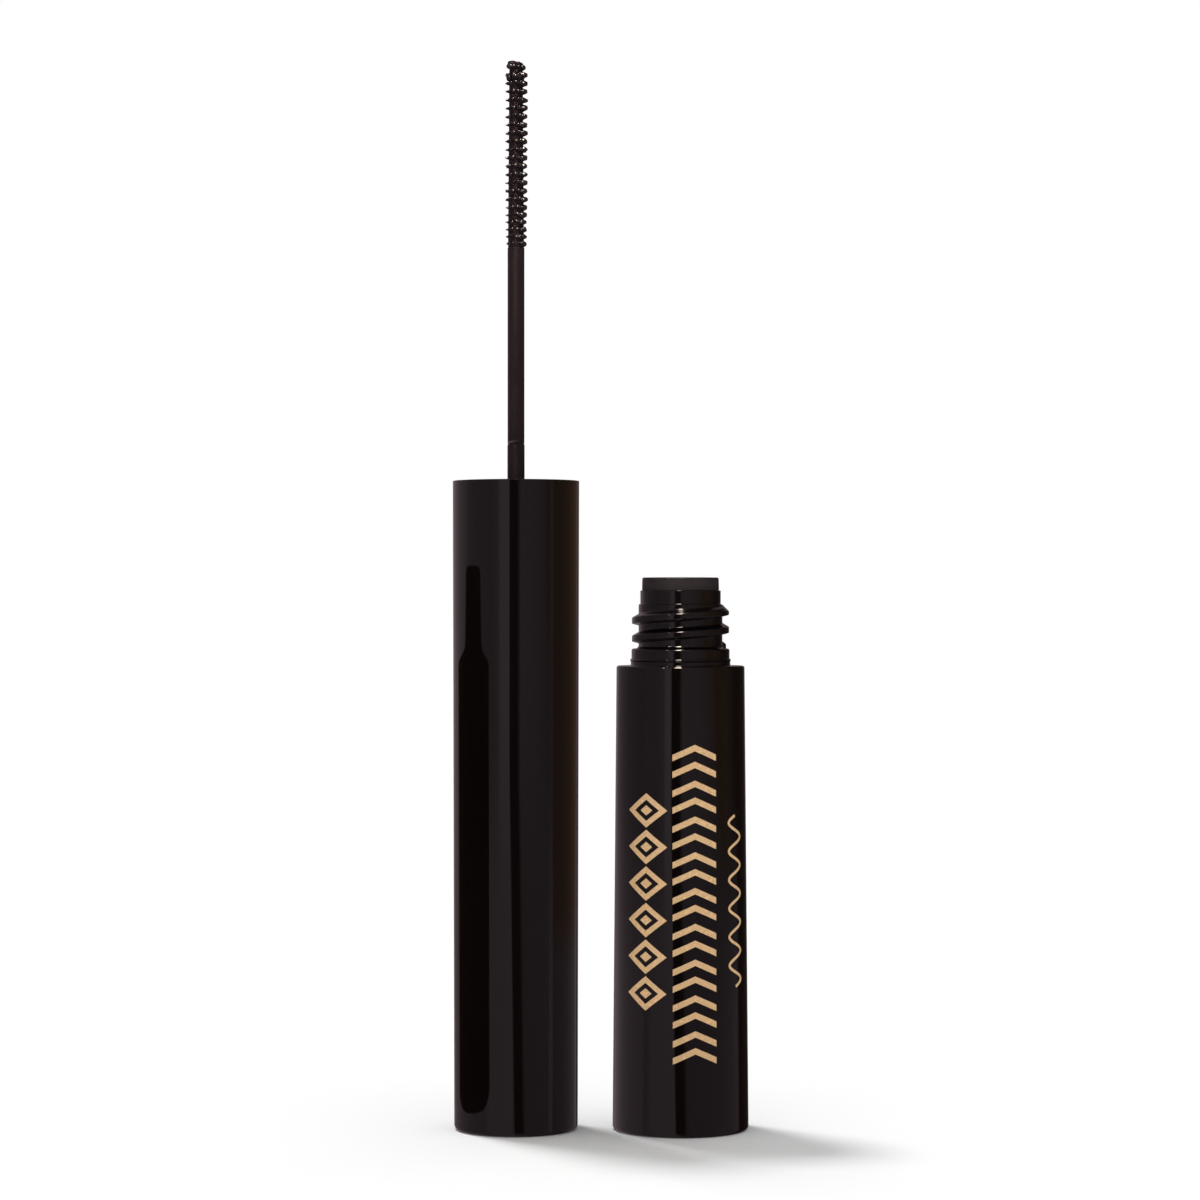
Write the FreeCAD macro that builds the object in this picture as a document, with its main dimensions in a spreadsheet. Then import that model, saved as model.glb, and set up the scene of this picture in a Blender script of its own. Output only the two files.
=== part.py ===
import FreeCAD, Part
import math
import os

import Sketcher
from FreeCAD import Vector

# A mascara tube, open: the bottle stands upright on the origin, and the cap stands beside it on its
# closed end, with its wand pointing straight up. All sizes are millimetres and +Z is up.
#
# Closed, the cap is turned over and screwed down until its mouth meets the bottle's shoulder. Its
# height h above its own closed end is then at shoulder_height + cap_height - h above the bottle's foot.
# The neck, the inner cap, the wiper's lip and the wand are placed so that they fit in that state.

DIMENSIONS = (
    # layout
    ("axis_spacing", 16.45),            # from the bottle's axis to the cap's axis
    # outer sleeve of the bottle: it narrows a little from its foot to its shoulder
    ("shoulder_height", 46.3),
    ("sleeve_foot_radius", 6.8),
    ("sleeve_top_radius", 6.4),
    ("sleeve_bore_foot_radius", 5.8),
    ("sleeve_bore_top_radius", 5.42),
    ("sleeve_roof", 1.2),
    ("sleeve_foot_round", 0.42),
    ("sleeve_top_round", 0.3),
    ("collar_hole_radius", 4.93),
    # base plug
    ("plug_thickness", 1.3),
    ("plug_ring_inner_radius", 5.32),
    ("plug_ring_outer_radius", 5.62),
    ("plug_ring_top", 3.4),
    ("plug_pad_inner_radius", 1.6),
    ("plug_pad_outer_radius", 2.4),
    # inner vial, with its collar, thread and neck
    ("vial_bottom", 2.0),
    ("vial_floor", 3.0),
    ("vial_radius", 5.3),
    ("vial_bottom_round", 0.7),
    ("chamber_radius", 4.4),
    ("chamber_corner", 0.8),
    ("chamber_top", 44.9),
    ("collar_radius", 4.9),
    ("collar_top", 48.0),
    ("collar_round", 0.25),
    ("neck_radius", 4.19),
    ("land_bottom", 52.4),
    ("land_radius", 4.02),
    ("neck_top", 53.8),
    ("neck_bore_radius", 3.38),
    ("neck_bore_bottom", 45.8),
    # screw thread, the same pitch on the neck and in the inner cap
    ("thread_pitch", 1.8),
    ("neck_thread_start", 48.1),
    ("neck_thread_rise", 4.2),
    ("neck_thread_crest", 4.89),
    ("neck_thread_chamfer_start", 51.7),
    ("neck_ridge_foot_below", 0.42),    # outline of the ridge, from the height of its crest line
    ("neck_ridge_edge_below", 0.22),
    ("neck_ridge_edge_inset", 0.1),
    ("neck_ridge_crest_below", 0.04),
    ("neck_ridge_brow_above", 0.15),
    ("neck_ridge_brow_inset", 0.08),
    ("neck_ridge_foot_above", 0.62),
    ("ridge_overlap", 0.12),            # how far a ridge reaches into the wall that carries it
    ("trim_reach", 0.5),                # how far past the crest the neck's trimming cut starts
    ("cap_thread_start", 59.35),
    ("cap_thread_rise", 3.0),
    ("cap_thread_crest", 4.27),
    ("cap_ridge_foot_half_width", 0.45),
    ("cap_ridge_crest_half_width", 0.15),
    # wiper
    ("wiper_flange_radius", 3.85),
    ("wiper_flange_top", 55.1),
    ("wiper_flange_round", 0.18),
    ("wiper_well_radius", 2.95),
    ("wiper_well_bottom", 45.9),
    ("wiper_bead_radius", 3.52),
    ("wiper_bead_top", 45.55),
    ("wiper_bead_bottom", 45.1),
    ("wiper_lip_top", 42.9),
    ("wiper_lip_bottom", 42.2),
    ("wiper_lip_outer_radius", 1.45),
    ("wiper_orifice_radius", 0.88),
    # the mascara itself, with the well that the wand leaves in it
    ("formula_clearance", 0.02),
    ("formula_top", 35.0),
    ("formula_meniscus", 0.5),
    ("formula_well_radius", 1.25),
    ("formula_well_bottom", 4.0),
    # gold foil
    ("foil_thickness", 0.03),
    # cap shell
    ("cap_height", 64.75),
    ("cap_end_radius", 6.17),
    ("cap_mouth_radius", 6.32),
    ("cap_end_round", 0.5),
    ("cap_lip_round", 0.12),
    ("cap_floor", 1.2),
    ("cap_seat_radius", 5.4),
    ("cap_seat_bottom", 40.0),
    ("cap_core_radius", 5.15),
    # inner cap
    ("inner_cap_recess", 0.4),
    ("skirt_bore_radius", 5.0),
    ("skirt_bore_bottom", 58.4),
    ("guide_radius", 4.35),
    ("guide_top", 58.0),
    ("plate_top", 55.15),
    ("plate_bottom", 53.95),
    ("boss_radius", 2.3),
    ("boss_bottom", 41.0),
    ("socket_bottom", 44.5),
    ("socket_radius", 1.2),
    ("rib_reach", 5.38),
    ("rib_thickness", 0.8),
    ("rib_overlap", 0.2),               # how far a rib reaches into the boss and the plate
    ("rib_count", 6),
    # sealing washer
    ("washer_top", 55.95),
    ("washer_radius", 4.3),
    ("washer_hole_radius", 1.25),
    # stem of the wand
    ("stem_root_top", 56.4),
    ("stem_taper_top", 57.4),
    ("stem_lower_radius", 0.86),
    ("stem_line_height", 68.5),
    ("stem_line_width", 0.12),
    ("stem_line_depth", 0.05),
    ("stem_upper_radius", 0.84),
    ("stem_top", 88.1),
    ("pin_radius", 0.45),
    ("pin_length", 4.0),
    # brush
    ("core_base_radius", 0.72),
    ("core_tip_radius", 0.65),
    ("brush_top", 106.6),
    ("head_bottom", 105.55),
    ("head_radius", 1.06),
    ("head_round", 0.3),
    ("tooth_radius", 1.07),
    ("tooth_root_radius", 0.5),
    ("tooth_root_half_width", 0.3),
    ("tooth_tip_half_width", 0.08),
    ("low_ring_height", 88.45),
    ("low_ring_pitch", 0.72),
    ("low_ring_count", 5),
    ("high_ring_pitch", 0.83),
    ("high_ring_count", 17),
    ("teeth_per_ring", 12),
    ("notch_floor_radius", 0.74),
    ("notch_mouth_radius", 1.2),
    ("notch_mouth_half_width", 0.17),
)


class Size:
    """A length that carries its number and the sheet expression that gives it."""

    def __init__(self, number, expression):
        self.number = number
        self.expression = expression

    def __add__(self, other):
        other = as_size(other)
        return Size(self.number + other.number, f"({self.expression} + {other.expression})")

    def __sub__(self, other):
        other = as_size(other)
        return Size(self.number - other.number, f"({self.expression} - {other.expression})")

    def __mul__(self, factor):
        factor = as_size(factor)
        return Size(self.number * factor.number, f"({self.expression} * {factor.expression})")


def as_size(value):
    """Let plain numbers stand beside sizes from the sheet."""
    if isinstance(value, Size):
        return value
    return Size(float(value), str(value))


def make_sheet(doc):
    """Write the driving dimensions to a spreadsheet, and return them as sizes by name."""
    sheet = doc.addObject("Spreadsheet::Sheet", "Dims")
    sizes = {}
    for row, (alias, number) in enumerate(DIMENSIONS, start=1):
        sheet.set(f"A{row}", alias)
        sheet.set(f"B{row}", str(number))
        sheet.setAlias(f"B{row}", alias)
        sizes[alias] = Size(number, f"Dims.{alias}")
    doc.recompute()
    return sizes


def new_body(doc, label, shift=None):
    """Start a sub-part, moved sideways by shift where it stands on the cap's axis."""
    body = doc.addObject("PartDesign::Body", label)
    body.Label = label
    if shift is not None:
        body.setExpression("Placement.Base.x", shift.expression)
    return body


def origin_plane(body, role):
    """Find one of the body's own origin planes."""
    for feature in body.Origin.OriginFeatures:
        if feature.Role == role:
            return feature
    raise ValueError(f"{body.Label} has no {role}")


def tie_point(sketch, edge, kind, axis, size):
    """Hold one coordinate of an edge's start to a size, or to the axis where it is zero."""
    if abs(size.number) < 1e-9:
        sketch.addConstraint(Sketcher.Constraint("PointOnObject", edge, 1, axis))
        return
    index = sketch.addConstraint(Sketcher.Constraint(kind, -1, 1, edge, 1, size.number))
    sketch.setExpression(f"Constraints[{index}]", size.expression)


def closed_sketch(body, name, points, role="XZ_Plane"):
    """Sketch a closed outline of straight edges, with each corner tied to the sheet."""
    points = [(as_size(across), as_size(up)) for across, up in points]
    corners = [Vector(across.number, up.number, 0) for across, up in points]
    sketch = body.newObject("Sketcher::SketchObject", name)
    sketch.AttachmentSupport = [(origin_plane(body, role), "")]
    sketch.MapMode = "FlatFace"
    count = len(corners)
    for edge in range(count):
        sketch.addGeometry(Part.LineSegment(corners[edge], corners[(edge + 1) % count]), False)
    for edge in range(count):
        sketch.addConstraint(Sketcher.Constraint("Coincident", edge, 2, (edge + 1) % count, 1))
    for edge, (across, up) in enumerate(points):
        tie_point(sketch, edge, "DistanceX", -2, across)
        tie_point(sketch, edge, "DistanceY", -1, up)
    return sketch


def turn(body, name, points, kind="PartDesign::Revolution"):
    """Turn an outline of (radius, height) corners once around the body's Z axis."""
    sketch = closed_sketch(body, f"{name}Outline", points)
    feature = body.newObject(kind, name)
    feature.Profile = sketch
    feature.ReferenceAxis = (sketch, ["V_Axis"])
    feature.Angle = 360
    return feature


def add_thread(body, name, points, pitch, rise):
    """Wind a ridge of the given outline up a right-hand helix around the body's Z axis."""
    sketch = closed_sketch(body, f"{name}Outline", points)
    helix = body.newObject("PartDesign::AdditiveHelix", name)
    helix.Profile = sketch
    helix.ReferenceAxis = (sketch, ["V_Axis"])
    helix.Mode = "pitch-height-angle"
    helix.setExpression("Pitch", pitch.expression)
    helix.setExpression("Height", rise.expression)
    helix.LeftHanded = False
    return helix


def round_rims(doc, body, name, rims, radius):
    """Round the circular edges that have these radii and heights."""
    doc.recompute()
    base = body.Tip
    names = []
    for number, edge in enumerate(base.Shape.Edges, start=1):
        if not isinstance(edge.Curve, Part.Circle):
            continue
        for rim_radius, rim_height in rims:
            same_radius = abs(edge.Curve.Radius - rim_radius.number) < 1e-4
            same_height = abs(edge.Curve.Center.z - rim_height.number) < 1e-4
            if same_radius and same_height:
                names.append(f"Edge{number}")
    if len(names) < len(rims):
        raise ValueError(f"{body.Label}: a rim of {name} was not found")
    fillet = body.newObject("PartDesign::Fillet", name)
    fillet.Base = (base, names)
    fillet.setExpression("Radius", radius.expression)
    return fillet


def repeat_around(doc, body, name, original, sketch, count):
    """Repeat a feature around the Z axis."""
    doc.recompute()
    pattern = body.newObject("PartDesign::PolarPattern", name)
    pattern.Originals = [original]
    pattern.Axis = (sketch, ["N_Axis"])
    pattern.Angle = 360
    pattern.setExpression("Occurrences", count.expression)
    body.Tip = pattern
    return pattern


def repeat_upwards(doc, body, name, original, sketch, pitch, count):
    """Repeat a feature up the Z axis, pitch apart."""
    doc.recompute()
    pattern = body.newObject("PartDesign::LinearPattern", name)
    pattern.Originals = [original]
    pattern.Direction = (sketch, ["V_Axis"])
    pattern.setExpression("Length", (pitch * (count - 1)).expression)
    pattern.setExpression("Occurrences", count.expression)
    body.Tip = pattern
    return pattern


def make_outer_sleeve(doc, d):
    """Outer shell of the bottle, open at its foot, with a flat shoulder around the collar."""
    body = new_body(doc, "outer_sleeve")
    roof_underside = d["shoulder_height"] - d["sleeve_roof"]
    turn(body, "SleeveShell", [
        (d["sleeve_bore_foot_radius"], 0),
        (d["sleeve_foot_radius"], 0),
        (d["sleeve_top_radius"], d["shoulder_height"]),
        (d["collar_hole_radius"], d["shoulder_height"]),
        (d["collar_hole_radius"], roof_underside),
        (d["sleeve_bore_top_radius"], roof_underside),
        (d["sleeve_bore_foot_radius"], d["plug_thickness"]),
    ])
    foot = (d["sleeve_foot_radius"], as_size(0))
    shoulder = (d["sleeve_top_radius"], d["shoulder_height"])
    round_rims(doc, body, "FootRound", [foot], d["sleeve_foot_round"])
    round_rims(doc, body, "ShoulderRound", [shoulder], d["sleeve_top_round"])
    return body


def make_base_plug(doc, d):
    """Disc that closes the sleeve's foot, with a pad under the vial and a ring around it."""
    body = new_body(doc, "base_plug")
    turn(body, "PlugDisc", [
        (0, 0),
        (d["sleeve_bore_foot_radius"], 0),
        (d["sleeve_bore_foot_radius"], d["plug_thickness"]),
        (d["plug_ring_outer_radius"], d["plug_thickness"]),
        (d["plug_ring_outer_radius"], d["plug_ring_top"]),
        (d["plug_ring_inner_radius"], d["plug_ring_top"]),
        (d["plug_ring_inner_radius"], d["plug_thickness"]),
        (d["plug_pad_outer_radius"], d["plug_thickness"]),
        (d["plug_pad_outer_radius"], d["vial_bottom"]),
        (d["plug_pad_inner_radius"], d["vial_bottom"]),
        (d["plug_pad_inner_radius"], d["plug_thickness"]),
        (0, d["plug_thickness"]),
    ])
    return body


def make_inner_vial(doc, d):
    """Vial that holds the mascara, with its collar, its threaded neck and the wiper's bore."""
    body = new_body(doc, "inner_vial")
    ledge = d["shoulder_height"] - d["sleeve_roof"]
    turn(body, "VialShell", [
        (0, d["vial_bottom"]),
        (d["vial_radius"], d["vial_bottom"]),
        (d["vial_radius"], ledge),
        (d["collar_radius"], ledge),
        (d["collar_radius"], d["collar_top"]),
        (d["neck_radius"], d["collar_top"]),
        (d["neck_radius"], d["neck_top"]),
        (d["neck_bore_radius"], d["neck_top"]),
        (d["neck_bore_radius"], d["neck_bore_bottom"]),
        (d["chamber_radius"], d["chamber_top"]),
        (d["chamber_radius"], d["vial_floor"] + d["chamber_corner"]),
        (d["chamber_radius"] - d["chamber_corner"], d["vial_floor"]),
        (0, d["vial_floor"]),
    ])
    round_rims(doc, body, "BottomRound", [(d["vial_radius"], d["vial_bottom"])], d["vial_bottom_round"])
    round_rims(doc, body, "CollarRound", [(d["collar_radius"], d["collar_top"])], d["collar_round"])
    start = d["neck_thread_start"]
    crest = d["neck_thread_crest"]
    root = d["neck_radius"] - d["ridge_overlap"]
    add_thread(body, "NeckThread", [
        (root, start - d["neck_ridge_foot_below"]),
        (crest - d["neck_ridge_edge_inset"], start - d["neck_ridge_edge_below"]),
        (crest, start - d["neck_ridge_crest_below"]),
        (crest - d["neck_ridge_brow_inset"], start + d["neck_ridge_brow_above"]),
        (root, start + d["neck_ridge_foot_above"]),
    ], d["thread_pitch"], d["neck_thread_rise"])
    outside = crest + d["trim_reach"]
    turn(body, "LandAndThreadEnd", [
        (crest, d["neck_thread_chamfer_start"]),
        (outside, d["neck_thread_chamfer_start"]),
        (outside, d["neck_top"]),
        (d["land_radius"], d["neck_top"]),
        (d["land_radius"], d["land_bottom"]),
        (d["neck_radius"], d["land_bottom"]),
    ], kind="PartDesign::Groove")
    return body


def make_wiper(doc, d):
    """Soft insert in the neck: flange on top, sleeve in the bore, bead below it, lip round the stem."""
    body = new_body(doc, "wiper")
    turn(body, "WiperWall", [
        (d["wiper_well_radius"], d["wiper_flange_top"]),
        (d["wiper_flange_radius"], d["wiper_flange_top"]),
        (d["wiper_flange_radius"], d["neck_top"]),
        (d["neck_bore_radius"], d["neck_top"]),
        (d["neck_bore_radius"], d["neck_bore_bottom"]),
        (d["wiper_bead_radius"], d["wiper_bead_top"]),
        (d["wiper_bead_radius"], d["wiper_bead_bottom"]),
        (d["wiper_lip_outer_radius"], d["wiper_lip_bottom"]),
        (d["wiper_orifice_radius"], d["wiper_lip_bottom"]),
        (d["wiper_orifice_radius"], d["wiper_lip_top"]),
        (d["wiper_well_radius"], d["wiper_well_bottom"]),
    ])
    flange_rims = [
        (d["wiper_flange_radius"], d["wiper_flange_top"]),
        (d["wiper_well_radius"], d["wiper_flange_top"]),
    ]
    round_rims(doc, body, "FlangeRound", flange_rims, d["wiper_flange_round"])
    return body


def make_formula(doc, d):
    """The mascara in the vial, with a low meniscus and the well that the brush leaves."""
    body = new_body(doc, "mascara_formula")
    wall = d["chamber_radius"] - d["formula_clearance"]
    floor = d["vial_floor"] + d["formula_clearance"]
    turn(body, "FormulaFill", [
        (0, floor),
        (wall - d["chamber_corner"], floor),
        (wall, floor + d["chamber_corner"]),
        (wall, d["formula_top"] + d["formula_meniscus"]),
        (wall - d["formula_meniscus"], d["formula_top"]),
        (d["formula_well_radius"], d["formula_top"]),
        (d["formula_well_radius"], d["formula_well_bottom"]),
        (0, d["formula_well_bottom"]),
    ])
    return body


def make_cap_shell(doc, d):
    """Outer shell of the cap: closed end down, mouth up, with a seat for the inner cap."""
    body = new_body(doc, "cap_shell", d["axis_spacing"] * -1)
    turn(body, "CapWall", [
        (0, 0),
        (d["cap_end_radius"], 0),
        (d["cap_mouth_radius"], d["cap_height"]),
        (d["cap_seat_radius"], d["cap_height"]),
        (d["cap_seat_radius"], d["cap_seat_bottom"]),
        (d["cap_core_radius"], d["cap_seat_bottom"]),
        (d["cap_core_radius"], d["cap_floor"]),
        (0, d["cap_floor"]),
    ])
    lip_rims = [(d["cap_mouth_radius"], d["cap_height"]), (d["cap_seat_radius"], d["cap_height"])]
    round_rims(doc, body, "EndRound", [(d["cap_end_radius"], as_size(0))], d["cap_end_round"])
    round_rims(doc, body, "LipRound", lip_rims, d["cap_lip_round"])
    return body


def make_inner_cap(doc, d):
    """Threaded insert pressed into the cap shell, with the stem's socket on six ribs."""
    body = new_body(doc, "inner_cap", d["axis_spacing"] * -1)
    skirt_end = d["cap_height"] - d["inner_cap_recess"]
    turn(body, "SkirtAndSocket", [
        (0, d["boss_bottom"]),
        (d["boss_radius"], d["boss_bottom"]),
        (d["boss_radius"], d["plate_bottom"]),
        (d["cap_seat_radius"], d["plate_bottom"]),
        (d["cap_seat_radius"], skirt_end),
        (d["skirt_bore_radius"], skirt_end),
        (d["skirt_bore_radius"], d["skirt_bore_bottom"]),
        (d["guide_radius"], d["guide_top"]),
        (d["guide_radius"], d["plate_top"]),
        (d["socket_radius"], d["plate_top"]),
        (d["socket_radius"], d["socket_bottom"]),
        (0, d["socket_bottom"]),
    ])
    start = d["cap_thread_start"]
    root = d["skirt_bore_radius"] + d["ridge_overlap"]
    add_thread(body, "CapThread", [
        (root, start - d["cap_ridge_foot_half_width"]),
        (root, start + d["cap_ridge_foot_half_width"]),
        (d["cap_thread_crest"], start + d["cap_ridge_crest_half_width"]),
        (d["cap_thread_crest"], start - d["cap_ridge_crest_half_width"]),
    ], d["thread_pitch"], d["cap_thread_rise"])
    half = d["rib_thickness"] * 0.5
    rib_start = d["boss_radius"] - d["rib_overlap"]
    rib_sketch = closed_sketch(body, "RibOutline", [
        (rib_start, half * -1),
        (d["rib_reach"], half * -1),
        (d["rib_reach"], half),
        (rib_start, half),
    ], role="XY_Plane")
    rib_sketch.setExpression("AttachmentOffset.Base.z", d["boss_bottom"].expression)
    rib = body.newObject("PartDesign::Pad", "Rib")
    rib.Profile = rib_sketch
    rib.setExpression("Length", (d["plate_bottom"] - d["boss_bottom"] + d["rib_overlap"]).expression)
    repeat_around(doc, body, "Ribs", rib, rib_sketch, d["rib_count"])
    return body


def make_sealing_washer(doc, d):
    """Flat washer on the inner cap's plate, around the root of the stem."""
    body = new_body(doc, "sealing_washer", d["axis_spacing"] * -1)
    turn(body, "WasherRing", [
        (d["washer_hole_radius"], d["plate_top"]),
        (d["washer_radius"], d["plate_top"]),
        (d["washer_radius"], d["washer_top"]),
        (d["washer_hole_radius"], d["washer_top"]),
    ])
    return body


def make_stem(doc, d):
    """Stem of the wand: thick root in the socket, fine line where the wiper's lip sits, bored tip."""
    body = new_body(doc, "stem", d["axis_spacing"] * -1)
    line = d["stem_line_height"]
    groove = d["stem_upper_radius"] - d["stem_line_depth"]
    turn(body, "StemRod", [
        (0, d["socket_bottom"]),
        (d["socket_radius"], d["socket_bottom"]),
        (d["socket_radius"], d["stem_root_top"]),
        (d["stem_lower_radius"], d["stem_taper_top"]),
        (d["stem_lower_radius"], line - d["stem_line_width"]),
        (groove, line - d["stem_line_width"] * 0.5),
        (d["stem_upper_radius"], line),
        (d["stem_upper_radius"], d["stem_top"]),
        (d["pin_radius"], d["stem_top"]),
        (d["pin_radius"], d["stem_top"] - d["pin_length"]),
        (0, d["stem_top"] - d["pin_length"]),
    ])
    return body


def add_tooth_ring(body, name, d, height):
    """One ring of teeth, before the notches part it."""
    return turn(body, name, [
        (d["tooth_root_radius"], height - d["tooth_root_half_width"]),
        (d["tooth_radius"], height - d["tooth_tip_half_width"]),
        (d["tooth_radius"], height + d["tooth_tip_half_width"]),
        (d["tooth_root_radius"], height + d["tooth_root_half_width"]),
    ])


def make_brush(doc, d):
    """Moulded brush: pin in the stem, tapering core, rings of short teeth, blunt head."""
    body = new_body(doc, "brush", d["axis_spacing"] * -1)
    turn(body, "BrushCore", [
        (0, d["stem_top"] - d["pin_length"]),
        (d["pin_radius"], d["stem_top"] - d["pin_length"]),
        (d["pin_radius"], d["stem_top"]),
        (d["core_base_radius"], d["stem_top"]),
        (d["core_tip_radius"], d["head_bottom"]),
        (d["head_radius"], d["head_bottom"] + d["head_round"]),
        (d["head_radius"], d["brush_top"] - d["head_round"]),
        (d["head_radius"] - d["head_round"], d["brush_top"]),
        (0, d["brush_top"]),
    ])
    low = add_tooth_ring(body, "LowRing", d, d["low_ring_height"])
    low_sketch = low.Profile[0]
    repeat_upwards(doc, body, "LowRings", low, low_sketch, d["low_ring_pitch"], d["low_ring_count"])
    high_start = d["low_ring_height"] + d["low_ring_pitch"] * d["low_ring_count"]
    high = add_tooth_ring(body, "HighRing", d, high_start)
    high_sketch = high.Profile[0]
    repeat_upwards(doc, body, "HighRings", high, high_sketch, d["high_ring_pitch"], d["high_ring_count"])
    notch_sketch = closed_sketch(body, "NotchOutline", [
        (d["notch_floor_radius"], 0),
        (d["notch_mouth_radius"], d["notch_mouth_half_width"] * -1),
        (d["notch_mouth_radius"], d["notch_mouth_half_width"]),
    ], role="XY_Plane")
    notch = body.newObject("PartDesign::Pocket", "Notch")
    notch.Profile = notch_sketch
    notch.Reversed = True
    notch.setExpression("Length", d["head_bottom"].expression)
    repeat_around(doc, body, "Notches", notch, notch_sketch, d["teeth_per_ring"])
    return body


# Gold foil. Each motif is an outline in a cell whose sides run from -1 to 1: the first number goes up
# the bottle, the second goes across its face, to the right.

def lozenge(scale):
    """Diamond outline."""
    return [(-scale, 0.0), (0.0, -scale), (scale, 0.0), (0.0, scale)]


def chevron(middle, rise, half_stroke):
    """V outline that points up the bottle."""
    return [
        (middle - rise - half_stroke, -1.0),
        (middle + rise - half_stroke, 0.0),
        (middle - rise - half_stroke, 1.0),
        (middle - rise + half_stroke, 1.0),
        (middle + rise + half_stroke, 0.0),
        (middle - rise + half_stroke, -1.0),
    ]


LOZENGE_HOLE = 0.62
LOZENGE_CORE = 0.3
CHEVRON_OFFSET = 0.5
CHEVRON_RISE = 0.3
CHEVRON_HALF_STROKE = 0.19

# Columns: middle azimuth in degrees from the bottle's front, lowest height, highest height, cells.
LOZENGE_COLUMN = (-32.3, 12.35, 33.95, 6)
CHEVRON_COLUMN = (11.3, 7.15, 38.75, 9)
FOIL_COLUMN_WIDTH = 4.46
FOIL_CELL_FILL = 0.94

# A motif is cut from the thin shell by a block that starts this far inside the sleeve's top radius.
STAMP_START = 1.5
STAMP_DEPTH = 3.0

# Wavy line to the right of the columns.
WAVE_AZIMUTH = 53.5
WAVE_BOTTOM = 14.65
WAVE_TOP = 31.55
WAVE_REACH = 0.95
WAVE_CYCLES = 6
WAVE_HALF_STROKE = 0.14
WAVE_STEPS_PER_CYCLE = 8


def face_point(azimuth, up, across, radius):
    """Point on the plane that touches a cylinder of this radius at an azimuth from the front."""
    angle = math.radians(azimuth)
    outward = Vector(math.sin(angle), -math.cos(angle), 0)
    sideways = Vector(math.cos(angle), math.sin(angle), 0)
    return outward * radius + sideways * across + Vector(0, 0, up)


def stamp(azimuth, outline, shell, inner_radius):
    """The part of the thin shell that an outline covers, seen square on at an azimuth."""
    wire = Part.makePolygon([face_point(azimuth, up, across, inner_radius) for up, across in outline]
                            + [face_point(azimuth, outline[0][0], outline[0][1], inner_radius)])
    angle = math.radians(azimuth)
    outward = Vector(math.sin(angle), -math.cos(angle), 0)
    return Part.Face(wire).extrude(outward * STAMP_DEPTH).common(shell)


def place_cells(column, outline):
    """Yield an outline moved into each cell of a column."""
    azimuth, low, high, count = column
    pitch = (high - low) / count
    for index in range(count):
        middle = low + (index + 0.5) * pitch
        half_up = pitch * FOIL_CELL_FILL / 2
        half_across = FOIL_COLUMN_WIDTH / 2
        yield [(middle + up * half_up, across * half_across) for up, across in outline]


def wave_outline():
    """Outline of the wavy line: up one side of it and down the other."""
    steps = WAVE_CYCLES * WAVE_STEPS_PER_CYCLE
    left = []
    right = []
    for step in range(steps + 1):
        share = step / steps
        up = WAVE_BOTTOM + (WAVE_TOP - WAVE_BOTTOM) * share
        across = WAVE_REACH * math.sin(2 * math.pi * WAVE_CYCLES * share)
        left.append((up, across - WAVE_HALF_STROKE))
        right.append((up, across + WAVE_HALF_STROKE))
    return left + right[::-1]


def make_foil_print(doc, d):
    """Gold foil on the sleeve's front: a column of lozenges, a column of chevrons and a wavy line."""
    foot = d["sleeve_foot_radius"].number
    top = d["sleeve_top_radius"].number
    height = d["shoulder_height"].number
    thickness = d["foil_thickness"].number
    section = Part.makePolygon([
        Vector(foot, 0, 0),
        Vector(foot + thickness, 0, 0),
        Vector(top + thickness, 0, height),
        Vector(top, 0, height),
        Vector(foot, 0, 0),
    ])
    shell = Part.Face(section).revolve(Vector(0, 0, 0), Vector(0, 0, 1), 360)
    inner = top - STAMP_START
    pieces = []
    azimuth = LOZENGE_COLUMN[0]
    wholes = place_cells(LOZENGE_COLUMN, lozenge(1.0))
    holes = place_cells(LOZENGE_COLUMN, lozenge(LOZENGE_HOLE))
    for whole, hole in zip(wholes, holes):
        frame = stamp(azimuth, whole, shell, inner)
        pieces.append(frame.cut(stamp(azimuth, hole, shell, inner)))
    for core in place_cells(LOZENGE_COLUMN, lozenge(LOZENGE_CORE)):
        pieces.append(stamp(azimuth, core, shell, inner))
    azimuth = CHEVRON_COLUMN[0]
    for offset in (-CHEVRON_OFFSET, CHEVRON_OFFSET):
        outline = chevron(offset, CHEVRON_RISE, CHEVRON_HALF_STROKE)
        for placed_outline in place_cells(CHEVRON_COLUMN, outline):
            pieces.append(stamp(azimuth, placed_outline, shell, inner))
    pieces.append(stamp(WAVE_AZIMUTH, wave_outline(), shell, inner))
    solids = [solid for piece in pieces for solid in piece.Solids]
    foil = doc.addObject("Part::Feature", "foil_print")
    foil.Label = "foil_print"
    foil.Shape = Part.makeCompound(solids)
    foil.Placement = FreeCAD.Placement()
    return foil


def check_document(doc, parts):
    """Stop if any feature failed, or any sub-part has no valid solid."""
    for item in doc.Objects:
        if "Invalid" in item.State or "Error" in item.State:
            raise RuntimeError(f"{item.Label} did not recompute: {item.State}")
    for part in parts:
        shape = part.Shape
        if shape.isNull() or not shape.isValid() or not shape.Solids:
            raise RuntimeError(f"{part.Label} has no valid solid")


def write_parts(parts):
    """Write each sub-part to its own STEP file."""
    os.makedirs("parts", exist_ok=True)
    for part in parts:
        path = os.path.join("parts", f"{part.Label}.step")
        part.Shape.exportStep(path)
        box = part.Shape.BoundBox
        print(f"{part.Label}: {len(part.Shape.Solids)} solid(s), {part.Shape.Volume:.3f} mm3, "
              f"z {box.ZMin:.2f} to {box.ZMax:.2f}")


def main():
    doc = FreeCAD.newDocument("MascaraTube")
    sizes = make_sheet(doc)
    makers = (
        make_outer_sleeve,
        make_base_plug,
        make_inner_vial,
        make_wiper,
        make_formula,
        make_foil_print,
        make_cap_shell,
        make_inner_cap,
        make_sealing_washer,
        make_stem,
        make_brush,
    )
    parts = [maker(doc, sizes) for maker in makers]
    doc.recompute()
    check_document(doc, parts)
    write_parts(parts)


main()
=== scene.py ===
import math
import random

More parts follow.
